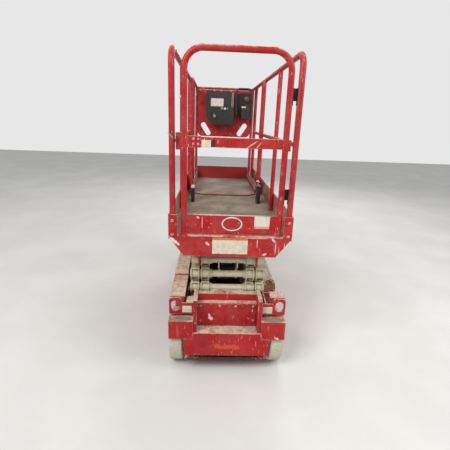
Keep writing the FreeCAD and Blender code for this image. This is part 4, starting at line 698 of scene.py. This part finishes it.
def console_details():
    y = CONSOLE_Y
    label = Form().box((-0.166, y - PLATE, 1.890), (-0.018, y, 1.977))
    label.done("console_label", "extension", "arm_paint", PLATE_WHITE)
    for name, x, z, radius, material in (("left_button", -0.036, 1.869, 0.013, BRIGHT_STEEL),
                                         ("grey_button", 0.000, 1.866, 0.014, PLATE_WHITE),
                                         ("small_button", 0.030, 1.868, 0.009, BRIGHT_STEEL)):
        form = Form().rod((x, y, z), (x, y - 0.010, z), radius, 20)
        form.done(name, "extension", "bare_steel", material)
    switch = Form().rod((-0.121, y, 1.781), (-0.121, y - 0.012, 1.781), 0.018, 20)
    switch.box((-0.126, y - 0.030, 1.764), (-0.116, y - 0.012, 1.804))
    switch.done("key_switch", "extension", "bare_steel", BRIGHT_STEEL)
    knobs = Form()
    for x in (-0.127, -0.047, 0.070):
        knobs.rod((x, y + 0.040, 2.058), (x, y + 0.040, 2.078), 0.011, 14)
    knobs.done("top_knobs", "extension", "arm_paint", PINK_PLATE_AND_HIGHLIGHT)
    # Painted highlight: two pale pink strips stand in for the light on the console box's edges.
    edge = Form().box((0.078, y - 0.003, 1.885), (0.084, y, 2.050)).box((0.094, y - 0.003, 1.885),
                                                                      (0.099, y, 2.050))
    edge.done("console_edge_highlights", "extension", "arm_paint", PINK_PLATE_AND_HIGHLIGHT)
    guard_y = 1.022
    path = [(0.138, guard_y, 1.800), (0.126, guard_y, 1.980)]
    path += arc((0.176, 2.045), 0.050, 170, 95, 6, guard_y)
    path += arc((0.262, 2.045), 0.050, 85, 10, 6, guard_y)
    path += [(0.324, guard_y, 1.960), (0.318, guard_y, 1.796)]
    Form().tube(path, 0.011).done("stick_guard", "extension", "black_plastic", BLACK)
    shroud = Form().box((0.148, 1.112, 1.800), (0.314, 1.157, 2.050))
    shroud.done("stick_shroud", "extension", "black_plastic", BLACK)
    collar = Form().rod((0.258, 1.086, 1.883), (0.258, 1.086, 1.893), 0.048, 28, 0.040)
    collar.rod((0.258, 1.086, 1.893), (0.258, 1.086, 1.935), 0.032, 28, 0.012)
    collar.done("stick_boot", "extension", "black_plastic", BLACK)
    knob = Form().ball((0.258, 1.086, 1.982), 0.0328)
    knob.done("stick_knob_skin", "extension", "black_plastic", KNOB)
    flange = Form().box((0.200, 1.024, 1.883), (0.248, 1.040, 1.900))
    flange.done("stick_base_plate", "extension", "arm_paint", PLATE_CREAM)


def tray_details():
    """A rusty latch on the right tray's cover."""
    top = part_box("tray_right")[1][2]
    form = Form().box((0.336, -0.782, top), (0.398, -0.716, top + 0.012))
    form.rod((0.366, -0.760, top + 0.012), (0.366, -0.760, top + 0.034), 0.015, 18)
    form.box((0.360, -0.766, top + 0.018), (0.372, -0.722, top + 0.028))
    form.done("tray_latch", "tray_right", "bare_steel", RUSTY_LATCH)


def top_row_sleeves():
    """Sleeves on the platform's two pins at the entry end, outside its plates."""
    form = Form()
    for side in SIDES.values():
        inner, outer, cap = ((side * reach, NEAR_PIN_Y, PLATFORM_PIN_Z) for reach in (0.212, 0.258, 0.264))
        form.rod(inner, outer, COLLAR_RADIUS, 28)
        form.rod(outer, cap, 0.024, 28)
    form.done("platform_pin_sleeves", "platform", "arm_paint", FINISH["arm_paint"])


def deck_boards():
    """Thin boards along both sides of the roll-out deck, inside its posts."""
    form = Form()
    for side in SIDES.values():
        low, high = sorted((side * 0.3185, side * 0.3215))
        form.box((low, 0.236, 1.018), (high, 1.158, 1.128))
    form.done("deck_side_boards", "extension", "red_paint", DUSTY_BOARD)


def guide_details():
    """The latch of the roll-out deck on the right guide block, and a cap on the left one."""
    low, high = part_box("guide_blocks")
    x, top = high[0] - 0.017, high[2]
    body = Form().box((x - 0.020, -0.170, top), (x + 0.016, -0.082, top + 0.030))
    body.done("rollout_latch_body", "platform", "black_plastic", BLACK)
    form = Form().rod((x, -0.126, top + 0.030), (x, -0.126, top + 0.068), 0.012, 18)
    form.rod((x - 0.010, -0.126, top + 0.068), (x - 0.010, -0.126, top + 0.080), 0.016, 18, 0.010)
    form.done("rollout_latch_pin", "platform", "bare_steel", BRIGHT_STEEL)
    handle = Form().rod((x - 0.004, -0.126, top + 0.052), (x + 0.026, -0.150, top + 0.060), 0.007, 14)
    handle.ball((x + 0.028, -0.152, top + 0.061), 0.011)
    handle.done("rollout_latch_handle", "platform", "black_plastic", BLACK)
    cap = Form().box((low[0], -0.170, top), (low[0] + 0.030, -0.082, top + 0.012))
    cap.done("left_guide_cap", "platform", "arm_paint", PLATE_CREAM)


def wheel_details():
    """The nuts on each wheel's disc."""
    for end, axle in AXLES.items():
        for hand, side in SIDES.items():
            places = [(side * WHEEL_DISC_X, axle + NUT_CIRCLE * math.cos(turn),
                       AXLE_HEIGHT + NUT_CIRCLE * math.sin(turn))
                      for turn in (math.tau * step / NUTS for step in range(NUTS))]
            bolts(f"wheel_nuts_{end}_{hand}", f"wheel_{end}_{hand}", places, "+x" if side > 0 else "-x",
                  0.011, 0.012, seed=11)


gate_details()
hinge_details()
end_frame_details()
entry_details()
arm_details()
console_details()
tray_details()
top_row_sleeves()
deck_boards()
guide_details()
wheel_details()


# Floor, light and camera

FLOOR_REACH = 14.0
LAMP_WIDTH = 3.0
LAMP_TARGET = (0.0, 0.0, 1.0)
LAMPS = {"key": ((-3.2, -4.6, 5.2), 330.0), "fill": ((4.4, -2.6, 3.4), 130.0),
         "back": ((1.5, 5.2, 4.6), 160.0)}


def floor():
    mesh = bpy.data.meshes.new("floor")
    corners = [(x * FLOOR_REACH, y * FLOOR_REACH, 0) for x, y in ((-1, -1), (1, -1), (1, 1), (-1, 1))]
    mesh.from_pydata(corners, [], [(0, 1, 2, 3)])
    item = bpy.data.objects.new("floor", mesh)
    bpy.context.scene.collection.objects.link(item)
    s = Shader("pale_floor")
    cloud = s.noise(1.3, 4.0).above(0.35, 0.7)
    colour = s.mix(cloud, srgb(206, 204, 200), srgb(214, 212, 208))
    mesh.materials.append(s.finish(colour, 0.85, height=s.noise(30.0, 3.0), depth=0.001, radius=0.0))


def lamp(name, place, power):
    data = bpy.data.lights.new(name, "AREA")
    data.shape = "SQUARE"
    data.size = LAMP_WIDTH
    data.energy = power
    item = bpy.data.objects.new(name, data)
    item.location = place
    item.rotation_euler = (Vector(LAMP_TARGET) - Vector(place)).to_track_quat("-Z", "Y").to_euler()
    bpy.context.scene.collection.objects.link(item)


def light():
    world = bpy.data.worlds.new("pale_room")
    world.use_nodes = True
    tree = world.node_tree
    tree.nodes.clear()
    path = tree.nodes.new("ShaderNodeLightPath")
    seen = tree.nodes.new("ShaderNodeMath")
    seen.operation = "ADD"
    seen.use_clamp = True
    tree.links.new(path.outputs["Is Camera Ray"], seen.inputs[0])
    tree.links.new(path.outputs["Is Glossy Ray"], seen.inputs[1])
    shown, lit, both = (tree.nodes.new(kind) for kind in
                        ("ShaderNodeBackground", "ShaderNodeBackground", "ShaderNodeMixShader"))
    lit.inputs["Color"].default_value = (0.96, 0.98, 1.0, 1.0)
    lit.inputs["Strength"].default_value = 0.55
    shown.inputs["Color"].default_value = (0.80, 0.80, 0.80, 1.0)
    tree.links.new(seen.outputs[0], both.inputs[0])
    tree.links.new(lit.outputs[0], both.inputs[1])
    tree.links.new(shown.outputs[0], both.inputs[2])
    output = tree.nodes.new("ShaderNodeOutputWorld")
    tree.links.new(both.outputs[0], output.inputs["Surface"])
    bpy.context.scene.world = world
    for name, (place, power) in LAMPS.items():
        lamp(name, place, power)


CAMERA_PLACE = (-0.131, -3.285, 1.735)
CAMERA_HEADING = math.radians(2.47)
CAMERA_PITCH = math.radians(16.89)
CAMERA_ROLL = math.radians(2.17)
FRAME_PIXELS = 450
FOCAL_PIXELS = 344.4


def camera():
    data = bpy.data.cameras.new("camera")
    data.sensor_width = 36.0
    data.lens = FOCAL_PIXELS / FRAME_PIXELS * data.sensor_width
    item = bpy.data.objects.new("camera", data)
    bpy.context.scene.collection.objects.link(item)
    turn = (Matrix.Rotation(-CAMERA_HEADING, 3, "Z")
            @ Matrix.Rotation(math.pi / 2 - CAMERA_PITCH, 3, "X")
            @ Matrix.Rotation(CAMERA_ROLL, 3, "Z"))
    item.rotation_euler = turn.to_euler()
    item.location = CAMERA_PLACE
    bpy.context.scene.camera = item


floor()
light()
camera()
bpy.context.scene.view_settings.view_transform = "Standard"
